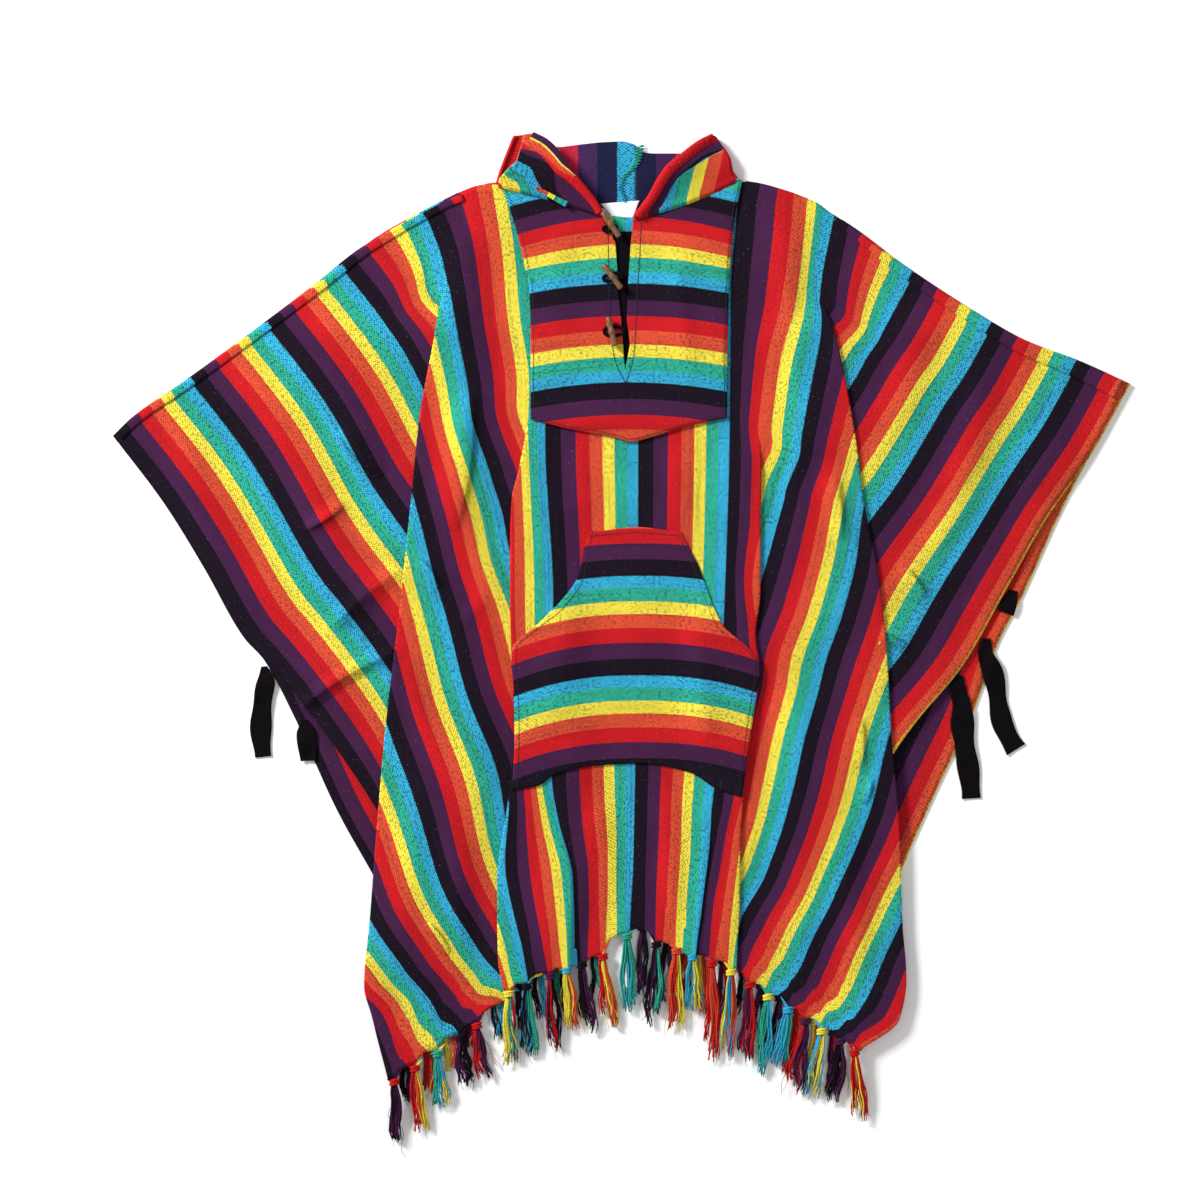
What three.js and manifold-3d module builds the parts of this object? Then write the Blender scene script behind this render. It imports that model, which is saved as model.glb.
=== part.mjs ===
// A hooded striped poncho lying flat on its back panel.
// Units are millimetres, +Z is up, +Y points to the hood, and the floor is z = 0.
// The origin is on the floor under the middle of the laid-out garment.

import * as THREE from 'three';
import { mergeVertices } from 'three/addons/utils/BufferGeometryUtils.js';
import Module from 'manifold-3d';

const wasm = await Module();
wasm.setup();

// Driving dimensions
const WALL = 1.6;              // thickness of the woven cotton
const TAPE = 1.2;              // thickness of the tape, the label and the thin trim
const GAP = 0.4;               // air left between pieces that lie on each other
const REPEAT = 120;            // width of one run of the seven stripes
const SELVAGE = 11.6;          // runs of stripes across one loom width
const FRONT_PITCH = 2.4;       // rise from one layer of a front pleat to the next
const BACK_PITCH = 2.0;        // the same for the back panel
const BACK_MID = WALL / 2;     // mid height of the back panel where it rests
const FRONT_LOW = 2.8;         // mid height of the front panel over one layer of the back
const FRONT_RAISE = 4.0;       // how much more it is lifted by the back panel's pleats
const TURN = 1.2;              // half height of a fold's round edge
const EASE = 12;               // half width of the stretch in which a pleat begins
const PLEAT_START = 14;        // depth at which a pleat lies fully folded
const SLOPE = 55;              // length over which cloth comes down off a pleat

const COLOURS = {
  cloth: 0xb03a35, black: 0x1b1720, bamboo: 0x7a5a3c, label: 0xf2f2f2, hood: 0x8a2a3a, fringe: 0x6f3a4a,
};

// Tables of the layout. Places are in millimetres on the floor plan. "along" is how far down the cloth a row
// lies, 0 at the shoulder and 100 at the hem. "run" is the stripe count from the left selvage, "under" the count
// of the cloth that passes beneath the edge, "depth" the hidden width and "lean" the slant of the hidden layer.
const table = (columns, rows) => rows.map((row) => Object.fromEntries(columns.map((name, i) => [name, row[i]])));
const EDGE = ['along', 'x', 'y'];
const FOLD = ['along', 'x', 'y', 'run', 'under', 'depth', 'lean'];
const GUIDE = ['along', 'x', 'y', 'run', 'next', 'drop'];

const frontLeftSelvage = table(EDGE, [
  [0, -636, 257], [11, -569, 171], [21, -519, 91], [32, -469, 4], [36, -445, -22], [47, -376, -107],
  [60, -304, -213], [69, -264, -286], [77, -262, -372], [87, -292, -446], [94, -290, -496], [100, -286, -536],
]);

const frontLeftPleat = table(FOLD, [
  [0, -237, 542, 4.08, 4.08, 0, -34],
  [8, -222, 467, 4.0, 4.0, 0, -34],
  [15, -232, 390, 3.78, 3.4, 22, -34],
  [26, -252, 280, 3.35, 2.6, 45, -34],
  [36, -262, 183, 3.0, 1.93, 64, -34],
  [49, -277, 40, 2.5, 0.98, 91, -34],
  [62, -294, -104, 2.0, 0.1, 112, -30],
  [72, -305, -229, 1.5, -0.4, 104, -26],
  [80, -314, -348, 1.0, -0.5, 84, -20],
  [90, -321, -429, 0.43, -0.2, 60, 0],
  [95, -311, -470, 0.2, 0, 44, 25],
  [100, -294, -547, 0.08, 0, 34, 45],
]);

const frontLeftInnerPleat = table(FOLD, [
  [0, -155, 571, 4.68, 4.68, 0, -18],
  [8, -139, 490, 4.71, 4.71, 0, -18],
  [16, -132, 408, 4.71, 4.71, 0, -18],
  [24, -120, 321, 4.71, 4.71, 0, -18],
  [30, -121, 264, 4.72, 4.53, 8, -18],
  [34.5, -127, 220, 4.62, 4.38, 14, -18],
  [39, -137, 177, 4.47, 4.14, 20, -18],
  [45, -139, 120, 4.43, 4.0, 26, -18],
  [51, -139, 54, 4.43, 3.75, 41, -18],
  [59, -137, -25, 4.4, 3.57, 50, -18],
  [68, -134, -115, 4.2, 3.24, 58, -18],
  [77, -142, -202, 4.0, 3.0, 60, -18],
  [86, -155, -295, 3.9, 2.5, 62, -18],
  [96, -155, -398, 3.6, 2.0, 60, 8],
  [100, -150, -435, 3.5, 1.57, 56, 20],
]);

const frontRightInnerPleat = table(FOLD, [
  [0, 226, 556, 7.57, 7.57, 0, -18],
  [6, 221, 502, 7.57, 7.57, 0, -18],
  [14, 210, 421, 7.57, 7.57, 0, -18],
  [21, 192, 352, 7.57, 7.57, 0, -18],
  [29, 181, 271, 7.57, 7.57, 0, -18],
  [34, 174, 224, 7.45, 7.62, 10, -18],
  [42, 172, 146, 7.46, 7.83, 22, -18],
  [50, 172, 64, 7.6, 8.05, 30, -18],
  [56, 166, 8, 7.4, 8.2, 44, -18],
  [61, 171, -33, 7.4, 8.29, 50, -18],
  [69, 162, -104, 7.4, 8.38, 44, -18],
  [77, 152, -183, 7.45, 8.42, 28, -18],
  [84, 147, -252, 7.6, 8.57, 28, -10],
  [92, 146, -329, 7.7, 8.95, 28, 0],
  [100, 145, -408, 7.8, 9.29, 28, 25],
]);

const frontRightPleat = table(FOLD, [
  [0, 265, 533, 8.0, 8.0, 0, -34],
  [10, 254, 439, 8.05, 8.05, 0, -34],
  [19, 274, 346, 8.28, 9.0, 43, -34],
  [27, 290, 258, 8.62, 9.62, 60, -34],
  [36, 302, 167, 9.0, 10.2, 72, -34],
  [45, 320, 77, 9.29, 10.75, 88, -34],
  [55, 330, -19, 9.63, 11.4, 98, -32],
  [65, 335, -114, 10.0, 11.9, 98, -30],
  [74, 345, -229, 10.39, 12.2, 84, -24],
  [84, 349, -350, 11.0, 12.2, 60, -10],
  [92, 354, -423, 11.38, 12.0, 44, 15],
  [96, 345, -473, 11.5, 11.8, 38, 40],
  [100, 300, -510, 11.55, 11.8, 34, 62],
]);

const frontRightSelvage = table(EDGE, [
  [0, 635, 322], [11, 584, 231], [21, 529, 152], [31, 484, 73], [43, 424, -32], [52, 369, -98],
  [58, 340, -138], [65, 302, -205], [74, 296, -290], [84, 318, -368], [92, 331, -430], [96, 326, -468],
  [100, 293, -494],
]);

// Lines inside the middle stretch of the front: two small folds below the pocket, with the middle between them.
const frontMiddle = [
  table(GUIDE, [
    [0, -96, 567, 5.0, 5.0, 0], [33, -96, 252, 5.0, 5.0, 0], [51, -86, 52, 5.0, 5.0, 0],
    [74, -89, -169, 4.93, 5.0, 0], [79, -80, -222, 4.9, 5.05, 0], [86, -62, -294, 4.86, 5.12, 4], [100, -59, -405, 4.83, 5.12, 4],
  ]),
  table(GUIDE, [
    [0, 17, 567, 6, 6, 0], [33, 20, 252, 6, 6, 0], [60, 19, 2, 6, 6, 0], [80, 16, -179, 6, 6, 0],
    [100, 12, -360, 6, 6, 0],
  ]),
  table(GUIDE, [
    [0, 149, 574, 7.0, 7.0, 0], [33, 134, 252, 7.0, 7.0, 0], [60, 125, -10, 7.0, 7.0, 0],
    [77, 115, -179, 7.0, 7.0, 0], [80, 113, -211, 7.0, 7.03, 0], [86, 108, -270, 6.97, 7.12, 3],
    [92, 101, -329, 6.95, 7.2, 4],
    [100, 95, -392, 6.93, 7.22, 4],
  ]),
];

const backLeftSelvage = table(EDGE, [
  [0, -636, 256], [11, -571, 170], [21, -522, 91], [32, -472, 4], [36, -448, -22], [44, -410, -93],
  [57, -356, -211], [68, -307, -299], [80, -262, -385], [92, -222, -436], [100, -204, -452],
]);

const backLeftPleat = table(FOLD, [
  [0, -350, 468, 2.95, 2.95, 0, -34],
  [8, -345, 400, 2.97, 2.97, 0, -34],
  [20, -335, 270, 3.0, 2.4, 36, -34],
  [40, -322, 60, 3.1, 1.2, 105, -32],
  [60, -308, -150, 3.2, 0.2, 165, -28],
  [80, -296, -345, 3.3, -0.6, 205, -12],
  [100, -284, -522, 3.4, -1.0, 205, 48],
]);

const backMiddle = [
  table(GUIDE, [[0, 8, 560, 5.9, 5.9, 0], [50, 8, 100, 5.9, 5.9, 0], [100, 8, -352, 5.9, 5.9, 0]]),
];

const backRightPleat = table(FOLD, [
  [0, 400, 438, 9.15, 9.15, 0, -34],
  [8, 392, 374, 9.13, 9.13, 0, -34],
  [20, 372, 254, 9.1, 9.7, 36, -34],
  [40, 346, 55, 8.9, 10.6, 100, -32],
  [60, 326, -150, 8.7, 11.4, 150, -28],
  [80, 306, -330, 8.5, 12.1, 190, -12],
  [100, 282, -492, 8.3, 12.6, 212, 42],
]);

const backRightSelvage = table(EDGE, [
  [0, 635, 321], [12, 588, 238], [23, 545, 155], [34, 500, 56], [42, 469, -4], [52, 437, -93],
  [61, 399, -173], [70, 361, -257], [74, 350, -284], [84, 306, -352], [92, 252, -398], [100, 214, -420],
]);

// Interpolation
const clamp = (value, low = 0, high = 1) => Math.min(high, Math.max(low, value));
const mix = (a, b, k) => a + (b - a) * k;
const smooth = (k) => k * k * (3 - 2 * k);
const ease = (low, high, value) => smooth(clamp((value - low) / (high - low)));
const mixPoint = (a, b, k) => a.clone().lerp(b, k);
const radians = (degrees) => (degrees * Math.PI) / 180;

// Reads one column of a table at a given value of its key column, on a curve that never overshoots.
function read(rows, key, column, value) {
  const sign = Math.sign(rows[rows.length - 1][key] - rows[0][key]);
  const last = rows.length - 2;
  let i = 0;
  while (i < last && (value - rows[i + 1][key]) * sign > 0) i += 1;
  const slope = (n) => {
    if (n < 0 || n > last) return null;
    return (rows[n + 1][column] - rows[n][column]) / (rows[n + 1][key] - rows[n][key]);
  };
  const tangent = (before, after) => {
    if (before === null) return after;
    if (after === null) return before;
    if (before * after <= 0) return 0;
    return (2 * before * after) / (before + after);
  };
  const span = rows[i + 1][key] - rows[i][key];
  const k = clamp((value - rows[i][key]) / span);
  const start = tangent(slope(i - 1), slope(i)) * span;
  const end = tangent(slope(i), slope(i + 1)) * span;
  const a = rows[i][column];
  const b = rows[i + 1][column];
  return a + start * k + (3 * (b - a) - 2 * start - end) * k * k + (start + end - 2 * (b - a)) * k * k * k;
}

// The line of the shoulder and neck, which the top edges of both panels share.
const shoulder = table(['x', 'y'], [
  [-636, 257], [-611, 281], [-543, 328], [-449, 396], [-376, 451], [-319, 496], [-248, 537], [-210, 556],
  [-158, 571], [0, 574], [150, 574], [222, 557], [269, 531], [344, 476], [426, 422], [496, 381], [570, 352],
  [635, 322],
]);

const placeAt = (rows, along) => new THREE.Vector2(read(rows, 'along', 'x', along), read(rows, 'along', 'y', along));

// Mid height of the front panel's lowest layer. It lies on one layer of the back outside the back's pleats and on
// three between them, and slopes down just outside.
function frontBase(x, y) {
  const outside = Math.max(
    read(backLeftPleat, 'y', 'x', y) - x,
    x - read(backRightPleat, 'y', 'x', y),
  );
  const folded = ease(0, PLEAT_START, read(backLeftPleat, 'y', 'depth', y - 45));
  return FRONT_LOW + FRONT_RAISE * folded * (1 - ease(45, 140, outside));
}

// How far a pleat lifts the cloth that lies on it, from 1 over the hidden layers down to 0 beside them.
function pleatLift(rows, side, x, y, room) {
  const depth = read(rows, 'y', 'depth', y);
  const inward = (x - read(rows, 'y', 'x', y)) * side;
  const start = depth + 5;
  const end = Math.max(start + 15, Math.min(start + SLOPE, room));
  return ease(0, PLEAT_START, depth) * (1 - ease(start, end, inward));
}

// One panel is a row of lanes from selvage to selvage. Between lanes the cloth turns back under itself in a
// pleat: side 1 means that the lane on the right lies on top, side -1 that the lane on the left does.
const frontPanel = {
  left: frontLeftSelvage,
  right: frontRightSelvage,
  pitch: FRONT_PITCH,
  base: frontBase,
  folds: [
    { rows: frontLeftPleat, side: 1 },
    { rows: frontLeftInnerPleat, side: 1 },
    { rows: frontRightInnerPleat, side: -1 },
    { rows: frontRightPleat, side: -1 },
  ],
  guides: [[], [], frontMiddle, [], []],
  counts: [4, 4, 2, 4, 4],
  rings: [0, 4, 8, 11, 15, 20, 26, 31, 36, 43, 50, 56, 62, 68, 74, 80, 86, 91, 95.5, 100],
};

const backPanel = {
  left: backLeftSelvage,
  right: backRightSelvage,
  pitch: BACK_PITCH,
  base: () => BACK_MID,
  folds: [
    { rows: backLeftPleat, side: 1 },
    { rows: backRightPleat, side: -1 },
  ],
  guides: [[], backMiddle, []],
  counts: [4, 5, 4],
  rings: [0, 8, 14, 20, 27, 34, 42, 50, 60, 70, 80, 90, 95, 100],
};

// Height of the top lane of a panel at a place on the plan, with the lift of the pleats beside that lane.
function laneHeight(panel, lane, x, y) {
  const lifts = [];
  const before = panel.folds[lane - 1];
  const after = panel.folds[lane];
  const room = before && after ? read(after.rows, 'y', 'x', y) - read(before.rows, 'y', 'x', y) : SLOPE * 9;
  if (before && before.side > 0) lifts.push(pleatLift(before.rows, 1, x, y, room));
  if (after && after.side < 0) lifts.push(pleatLift(after.rows, -1, x, y, room));
  return panel.base(x, y) + 2 * panel.pitch * Math.max(0, ...lifts);
}

// The edge of a pleat at one ring: its visible edge, its hidden edge, and how far it is folded there.
function foldAt(fold, along) {
  const { rows, side } = fold;
  const value = (column) => read(rows, 'along', column, along);
  const edge = placeAt(rows, along);
  const depth = value('depth');
  const lean = radians(value('lean'));
  const hidden = edge.clone().add(new THREE.Vector2(side * Math.cos(lean), Math.sin(lean)).multiplyScalar(depth));
  const folded = ease(0, PLEAT_START, depth);
  const run = value('run');
  return { along, edge, hidden, depth, folded, side, run, turnRun: (run + value('under')) / 2, under: value('under') };
}

// A place beside the visible edge of a fold, along the ring: near the top the ring slopes with the shoulder.
function beside({ edge, along }, offset) {
  const slope = (read(shoulder, 'x', 'y', edge.x + 6) - read(shoulder, 'x', 'y', edge.x - 6)) / 12;
  return edge.clone().add(new THREE.Vector2(offset, offset * slope * (1 - ease(0, 40, along))));
}

// Points of a ring, left to right. Each has a place, a height and the stripe count at that place.
function ringOf(panel, along) {
  const folds = panel.folds.map((fold) => foldAt(fold, along));
  const ring = [];
  const put = (place, z, run) => ring.push({ place, z, run });
  const lanes = folds.length + 1;
  for (let lane = 0; lane < lanes; lane += 1) {
    const before = folds[lane - 1];
    const after = folds[lane];
    const stops = [];
    if (before) {
      const top = before.side > 0;
      const flat = beside(before, EASE);
      const folded = (top ? before.edge : before.hidden).clone().add(new THREE.Vector2(TURN, 0));
      const flatRun = before.run + EASE / REPEAT;
      const foldedRun = top ? before.run : before.turnRun;
      stops.push({ place: mixPoint(flat, folded, before.folded), run: mix(flatRun, foldedRun, before.folded) });
      if (!top && before.depth > PLEAT_START) stops.push({ place: null, run: before.under, fold: before });
    } else {
      stops.push({ place: placeAt(panel.left, along), run: 0 });
    }
    for (const guide of panel.guides[lane]) {
      const place = placeAt(guide, along);
      const drop = read(guide, 'along', 'drop', along);
      const step = new THREE.Vector2(Math.max(1.5, drop * 0.6), 0);
      stops.push({ place: place.clone().sub(step), run: read(guide, 'along', 'run', along), drop });
      stops.push({ place: place.clone().add(step), run: read(guide, 'along', 'next', along), close: true });
    }
    if (after) {
      const top = after.side < 0;
      if (!top && after.depth > PLEAT_START) stops.push({ place: null, run: after.under, fold: after });
      const flat = beside(after, -EASE);
      const folded = (top ? after.edge : after.hidden).clone().sub(new THREE.Vector2(TURN, 0));
      const flatRun = after.run - EASE / REPEAT;
      const foldedRun = top ? after.run : after.turnRun;
      stops.push({ place: mixPoint(flat, folded, after.folded), run: mix(flatRun, foldedRun, after.folded) });
    } else {
      stops.push({ place: placeAt(panel.right, along), run: SELVAGE });
    }
    lanePoints(panel, lane, along, stops, put);
    if (after) turnPoints(panel, lane, after, put);
  }
  return ring;
}

// Fills one lane with points. The stripe count is kept true where the lane passes under a fold's edge.
function lanePoints(panel, lane, along, stops, put) {
  const fixed = stops.filter((stop) => stop.place);
  const runs = fixed.map((stop) => stop.run);
  const first = fixed[0].place;
  const last = fixed[fixed.length - 1].place;
  const profile = fixed.map((stop) => stop.place);
  const lineY = (line, x) => {
    if (line.length > 2) return read(line, 'x', 'y', x);
    return mix(line[0].y, line[1].y, (x - line[0].x) / (line[1].x - line[0].x));
  };
  const left = lane === 0 ? panel.left : panel.folds[lane - 1].rows;
  const right = lane === panel.folds.length ? panel.right : panel.folds[lane].rows;
  const topLine = [left, ...panel.guides[lane], right].map((rows) => placeAt(rows, 0));
  const crossing = stops.find((stop) => !stop.place && stop.run > 0 && stop.run < SELVAGE);
  const crossingShare = crossing ? clamp((crossing.fold.edge.x - first.x) / (last.x - first.x), 0.02, 0.98) : 0;
  const runAt = (segment, k, share) => {
    if (!crossing || fixed.length > 2) return mix(runs[segment], runs[segment + 1], k);
    if (share < crossingShare) return mix(runs[0], crossing.run, share / crossingShare);
    return mix(crossing.run, runs[1], (share - crossingShare) / (1 - crossingShare));
  };
  for (let segment = 0; segment < fixed.length - 1; segment += 1) {
    const from = fixed[segment];
    const to = fixed[segment + 1];
    const steps = to.close ? 1 : panel.counts[lane];
    for (let i = segment === 0 ? 0 : 1; i <= steps; i += 1) {
      const k = i / steps;
      const place = mixPoint(from.place, to.place, k);
      const share = (place.x - first.x) / (last.x - first.x);
      if (profile.length > 2) place.y = lineY(profile, place.x);
      const topX = mix(topLine[0].x, topLine[topLine.length - 1].x, share);
      place.y += (read(shoulder, 'x', 'y', topX) - lineY(topLine, topX)) * (1 - ease(0, 40, along));
      const drop = i === steps && to.drop ? to.drop : 0;
      const z = (laneTop(panel, lane) ? laneHeight(panel, lane, place.x, place.y) : panel.base(place.x, place.y)) + drop;
      put(place, z, runAt(segment, k, share));
    }
  }
}

// A lane carries the lift of a pleat only where it lies on top of one.
function laneTop(panel, lane) {
  const before = panel.folds[lane - 1];
  const after = panel.folds[lane];
  return Boolean((before && before.side > 0) || (after && after.side < 0));
}

// The two round turns of a pleat and the hidden layer between them, in the order of the ring.
function turnPoints(panel, lane, fold, put) {
  const { edge, hidden, folded, side } = fold;
  const [first, second] = side > 0 ? [hidden, edge] : [edge, hidden];
  const [firstRun, secondRun] = side > 0 ? [fold.turnRun, fold.run] : [fold.run, fold.turnRun];
  const heights = side > 0 ? [0.5, 1, 1, 1, 1.5] : [1.5, 1, 1, 1, 0.5];
  const bulge = new THREE.Vector2(TURN, 0);
  const places = [
    first.clone(), first.clone().sub(bulge), mixPoint(first, second, 0.5), second.clone().add(bulge), second.clone(),
  ];
  const shares = [0, 0.02, 0.5, 0.98, 1];
  for (let i = 0; i < places.length; i += 1) {
    const offset = EASE * (-2 / 3 + (4 / 3) * (i / (places.length - 1)));
    const place = mixPoint(beside(fold, offset), places[i], folded);
    const lift = heights[i] * panel.pitch * folded;
    const run = mix(fold.run + offset / REPEAT, mix(firstRun, secondRun, shares[i]), folded);
    put(place, panel.base(place.x, place.y) + lift, run);
  }
}

// Meshes
function material(colour, roughness = 0.9) {
  return new THREE.MeshStandardMaterial({ color: colour, roughness, metalness: 0 });
}

function meshOf(name, geometry, colour, roughness) {
  const mesh = new THREE.Mesh(geometry, material(colour, roughness));
  mesh.name = name;
  geometry.computeVertexNormals();
  return mesh;
}

// A wall of even thickness about a grid of mid points, rows by columns, closed along its four sides.
function wallGeometry(grid, thickness, flatUnder = false) {
  const rows = grid.length;
  const columns = grid[0].length;
  const normals = grid.map((row, i) => row.map((point, j) => {
    const down = grid[Math.min(i + 1, rows - 1)][j].clone().sub(grid[Math.max(i - 1, 0)][j]);
    const ahead = new THREE.Vector3();
    if (j < columns - 1) ahead.add(row[j + 1].clone().sub(point).normalize());
    if (j > 0) ahead.add(point.clone().sub(row[j - 1]).normalize());
    return down.cross(ahead).normalize();
  }));
  const positions = [];
  for (const side of [1, -1]) {
    for (let i = 0; i < rows; i += 1) {
      for (let j = 0; j < columns; j += 1) {
        const point = grid[i][j].clone().addScaledVector(normals[i][j], (side * thickness) / 2);
        if (flatUnder && point.z < thickness * 0.3) point.z = 0;
        positions.push(point.x, point.y, point.z);
      }
    }
  }
  const index = [];
  const top = (i, j) => i * columns + j;
  const under = (i, j) => rows * columns + i * columns + j;
  const quad = (a, b, c, d) => index.push(a, b, c, a, c, d);
  for (let i = 0; i < rows - 1; i += 1) {
    for (let j = 0; j < columns - 1; j += 1) {
      quad(top(i, j), top(i + 1, j), top(i + 1, j + 1), top(i, j + 1));
      quad(under(i, j), under(i, j + 1), under(i + 1, j + 1), under(i + 1, j));
    }
    quad(top(i, 0), under(i, 0), under(i + 1, 0), top(i + 1, 0));
    quad(top(i, columns - 1), top(i + 1, columns - 1), under(i + 1, columns - 1), under(i, columns - 1));
  }
  for (let j = 0; j < columns - 1; j += 1) {
    quad(top(0, j), top(0, j + 1), under(0, j + 1), under(0, j));
    quad(top(rows - 1, j), under(rows - 1, j), under(rows - 1, j + 1), top(rows - 1, j + 1));
  }
  const geometry = new THREE.BufferGeometry();
  geometry.setAttribute('position', new THREE.Float32BufferAttribute(positions, 3));
  geometry.setIndex(index);
  return geometry;
}

function toSolid(geometry) {
  const bare = geometry.clone();
  bare.deleteAttribute('normal');
  bare.deleteAttribute('uv');
  const merged = mergeVertices(bare, 1e-4);
  return new wasm.Manifold(new wasm.Mesh({
    numProp: 3,
    vertProperties: new Float32Array(merged.attributes.position.array),
    triVerts: new Uint32Array(merged.index.array),
  }));
}

function fromSolid(solid) {
  const mesh = solid.getMesh();
  const geometry = new THREE.BufferGeometry();
  geometry.setAttribute('position', new THREE.Float32BufferAttribute(mesh.vertProperties, 3));
  geometry.setIndex(Array.from(mesh.triVerts));
  return geometry;
}

// A prism that stands on an outline and reaches through every layer, used to cut the head opening.
function cutter(outline) {
  const shape = new THREE.Shape(outline.map(([x, y]) => new THREE.Vector2(x, y)));
  const prism = new THREE.ExtrudeGeometry(shape, { depth: 80, bevelEnabled: false });
  prism.translate(0, 0, -20);
  return toSolid(prism);
}

// Panels
function panelGrid(panel) {
  return panel.rings.map((along) => ringOf(panel, along).map(({ place, z }) => new THREE.Vector3(place.x, place.y, z)));
}

// Head opening: an oval at the neck, and in the front a narrow cut down to the foot of the slit.
const NECK = { x: -2, y: 576, halfWidth: 150, frontDip: 51, backDip: 45, steps: 20 };
const SLIT_FOOT = [4, 356];

function neckOutline(dip, cut) {
  const points = [];
  for (let i = 0; i <= NECK.steps; i += 1) {
    const angle = Math.PI + (Math.PI * i) / NECK.steps;
    const x = NECK.x + NECK.halfWidth * Math.cos(angle);
    const middle = cut && i === NECK.steps / 2;
    if (middle) points.push([SLIT_FOOT[0] - 5, NECK.y - dip], [SLIT_FOOT[0], SLIT_FOOT[1]], [SLIT_FOOT[0] + 5, NECK.y - dip]);
    else points.push([x, NECK.y + dip * Math.sin(angle)]);
  }
  points.push([NECK.x + NECK.halfWidth, NECK.y + 40], [NECK.x - NECK.halfWidth, NECK.y + 40]);
  return points;
}

function buildBackPanel() {
  const wall = wallGeometry(panelGrid(backPanel), WALL, true);
  const solid = toSolid(wall).subtract(cutter(neckOutline(NECK.backDip, false)));
  return meshOf('back_panel', fromSolid(solid), COLOURS.cloth);
}

function buildFrontPanel() {
  const solid = toSolid(wallGeometry(panelGrid(frontPanel), WALL)).subtract(cutter(neckOutline(NECK.frontDip, true)));
  return meshOf('front_panel', fromSolid(solid), COLOURS.cloth);
}

const backPanelMesh = buildBackPanel();
const frontPanelMesh = buildFrontPanel();

// Triangles of a mesh as a list of corner triples, for the height lookup below.
function trianglesOf(mesh) {
  const { position } = mesh.geometry.attributes;
  const { array } = mesh.geometry.index;
  const corner = (i) => new THREE.Vector3().fromBufferAttribute(position, array[i]);
  const list = [];
  for (let i = 0; i < array.length; i += 3) list.push([corner(i), corner(i + 1), corner(i + 2)]);
  return list;
}

const frontTriangles = trianglesOf(frontPanelMesh);

// Height of the top of the front panel at a place on the plan, or of its base where the panel is cut away.
function surfaceAt(x, y) {
  let height = frontBase(x, y) + WALL / 2;
  for (const [a, b, c] of frontTriangles) {
    const area = (b.x - a.x) * (c.y - a.y) - (c.x - a.x) * (b.y - a.y);
    if (Math.abs(area) < 1e-6) continue;
    const u = ((b.x - x) * (c.y - y) - (c.x - x) * (b.y - y)) / area;
    const v = ((c.x - x) * (a.y - y) - (a.x - x) * (c.y - y)) / area;
    const w = 1 - u - v;
    if (u >= 0 && v >= 0 && w >= 0) height = Math.max(height, u * a.z + v * b.z + w * c.z);
  }
  return height;
}

// The highest of a few places round about, so that a piece laid over the panel clears its edges.
const NEAR = [-11, 0, 11];

function frontTop(x, y) {
  return Math.max(...NEAR.flatMap((dx) => NEAR.map((dy) => surfaceAt(x + dx, y + dy))));
}

// A grid of points between two side lines and between two end lines, at a given height over the front panel.
function patchGrid({ left, right, top, bottom, rows, columns, lift }) {
  const grid = [];
  for (let i = 0; i <= rows; i += 1) {
    const t = i / rows;
    const level = mix(left[0].y, left[left.length - 1].y, t);
    const from = read(left, 'y', 'x', level);
    const to = read(right, 'y', 'x', mix(right[0].y, right[right.length - 1].y, t));
    const row = [];
    for (let j = 0; j <= columns; j += 1) {
      const x = mix(from, to, j / columns);
      const y = mix(read(top, 'x', 'y', x), read(bottom, 'x', 'y', x), t);
      row.push(new THREE.Vector3(x, y, frontTop(x, y) + lift));
    }
    grid.push(row);
  }
  return grid;
}

const PLACE = ['x', 'y'];

// Yoke: a chest piece with a pointed lower edge, slit from the neck down.
const YOKE_LIFT = 2.4 + WALL / 2;
const yokeShape = {
  left: table(PLACE, [[-152, 564], [-140, 543], [-125, 490], [-115, 434], [-114, 389], [-114, 278]]),
  right: table(PLACE, [[150, 572], [139, 517], [134, 453], [132, 389], [131, 326], [131, 279]]),
  top: table(PLACE, [[-152, 564], [-26, 537], [-6, 532], [14, 531], [150, 572]]),
  bottom: table(PLACE, [[-114, 278], [-74, 267], [-6, 254], [11, 249], [29, 253], [80, 268], [131, 279]]),
  rows: 10,
  columns: 12,
  lift: YOKE_LIFT,
};
const slitOutline = [
  [-30, 560], [-26, 533], [-8, 498], [-4, 434], [-1, 403], [2, 358], [4, 339], [10, 371], [6, 403], [8, 453],
  [11, 498], [14, 527], [16, 560],
];

function buildYoke() {
  const solid = toSolid(wallGeometry(patchGrid(yokeShape), WALL)).subtract(cutter(slitOutline));
  return meshOf('yoke', fromSolid(solid), COLOURS.cloth);
}

// Ribbons of tape, each a path of places with a height and a width.
const RIBBON = ['x', 'y', 'z', 'width'];

function ribbonGrid(path) {
  return path.map((point, i) => {
    const before = path[Math.max(i - 1, 0)];
    const after = path[Math.min(i + 1, path.length - 1)];
    const down = new THREE.Vector2(after.x - before.x, after.y - before.y).normalize();
    const across = new THREE.Vector2(-down.y, down.x).multiplyScalar(point.width / 2);
    return [-1, 1].map((side) => new THREE.Vector3(point.x + side * across.x, point.y + side * across.y, point.z));
  });
}

const buildRibbon = (name, path) => meshOf(name, wallGeometry(ribbonGrid(path), TAPE), COLOURS.black);

function buildUnderlap() {
  const rise = (x, y) => frontTop(x, y) + 0.5 + TAPE / 2;
  const path = table(RIBBON, [
    [1, 524, 0, 24], [2, 480, 0, 24], [3, 440, 0, 24], [4, 415, 0, 23], [4, 395, 0, 22], [5, 378, 0, 20], [6, 362, 0, 18],
  ]);
  for (const point of path) point.z = rise(point.x, point.y);
  return buildRibbon('slit_underlap', path);
}

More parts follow.
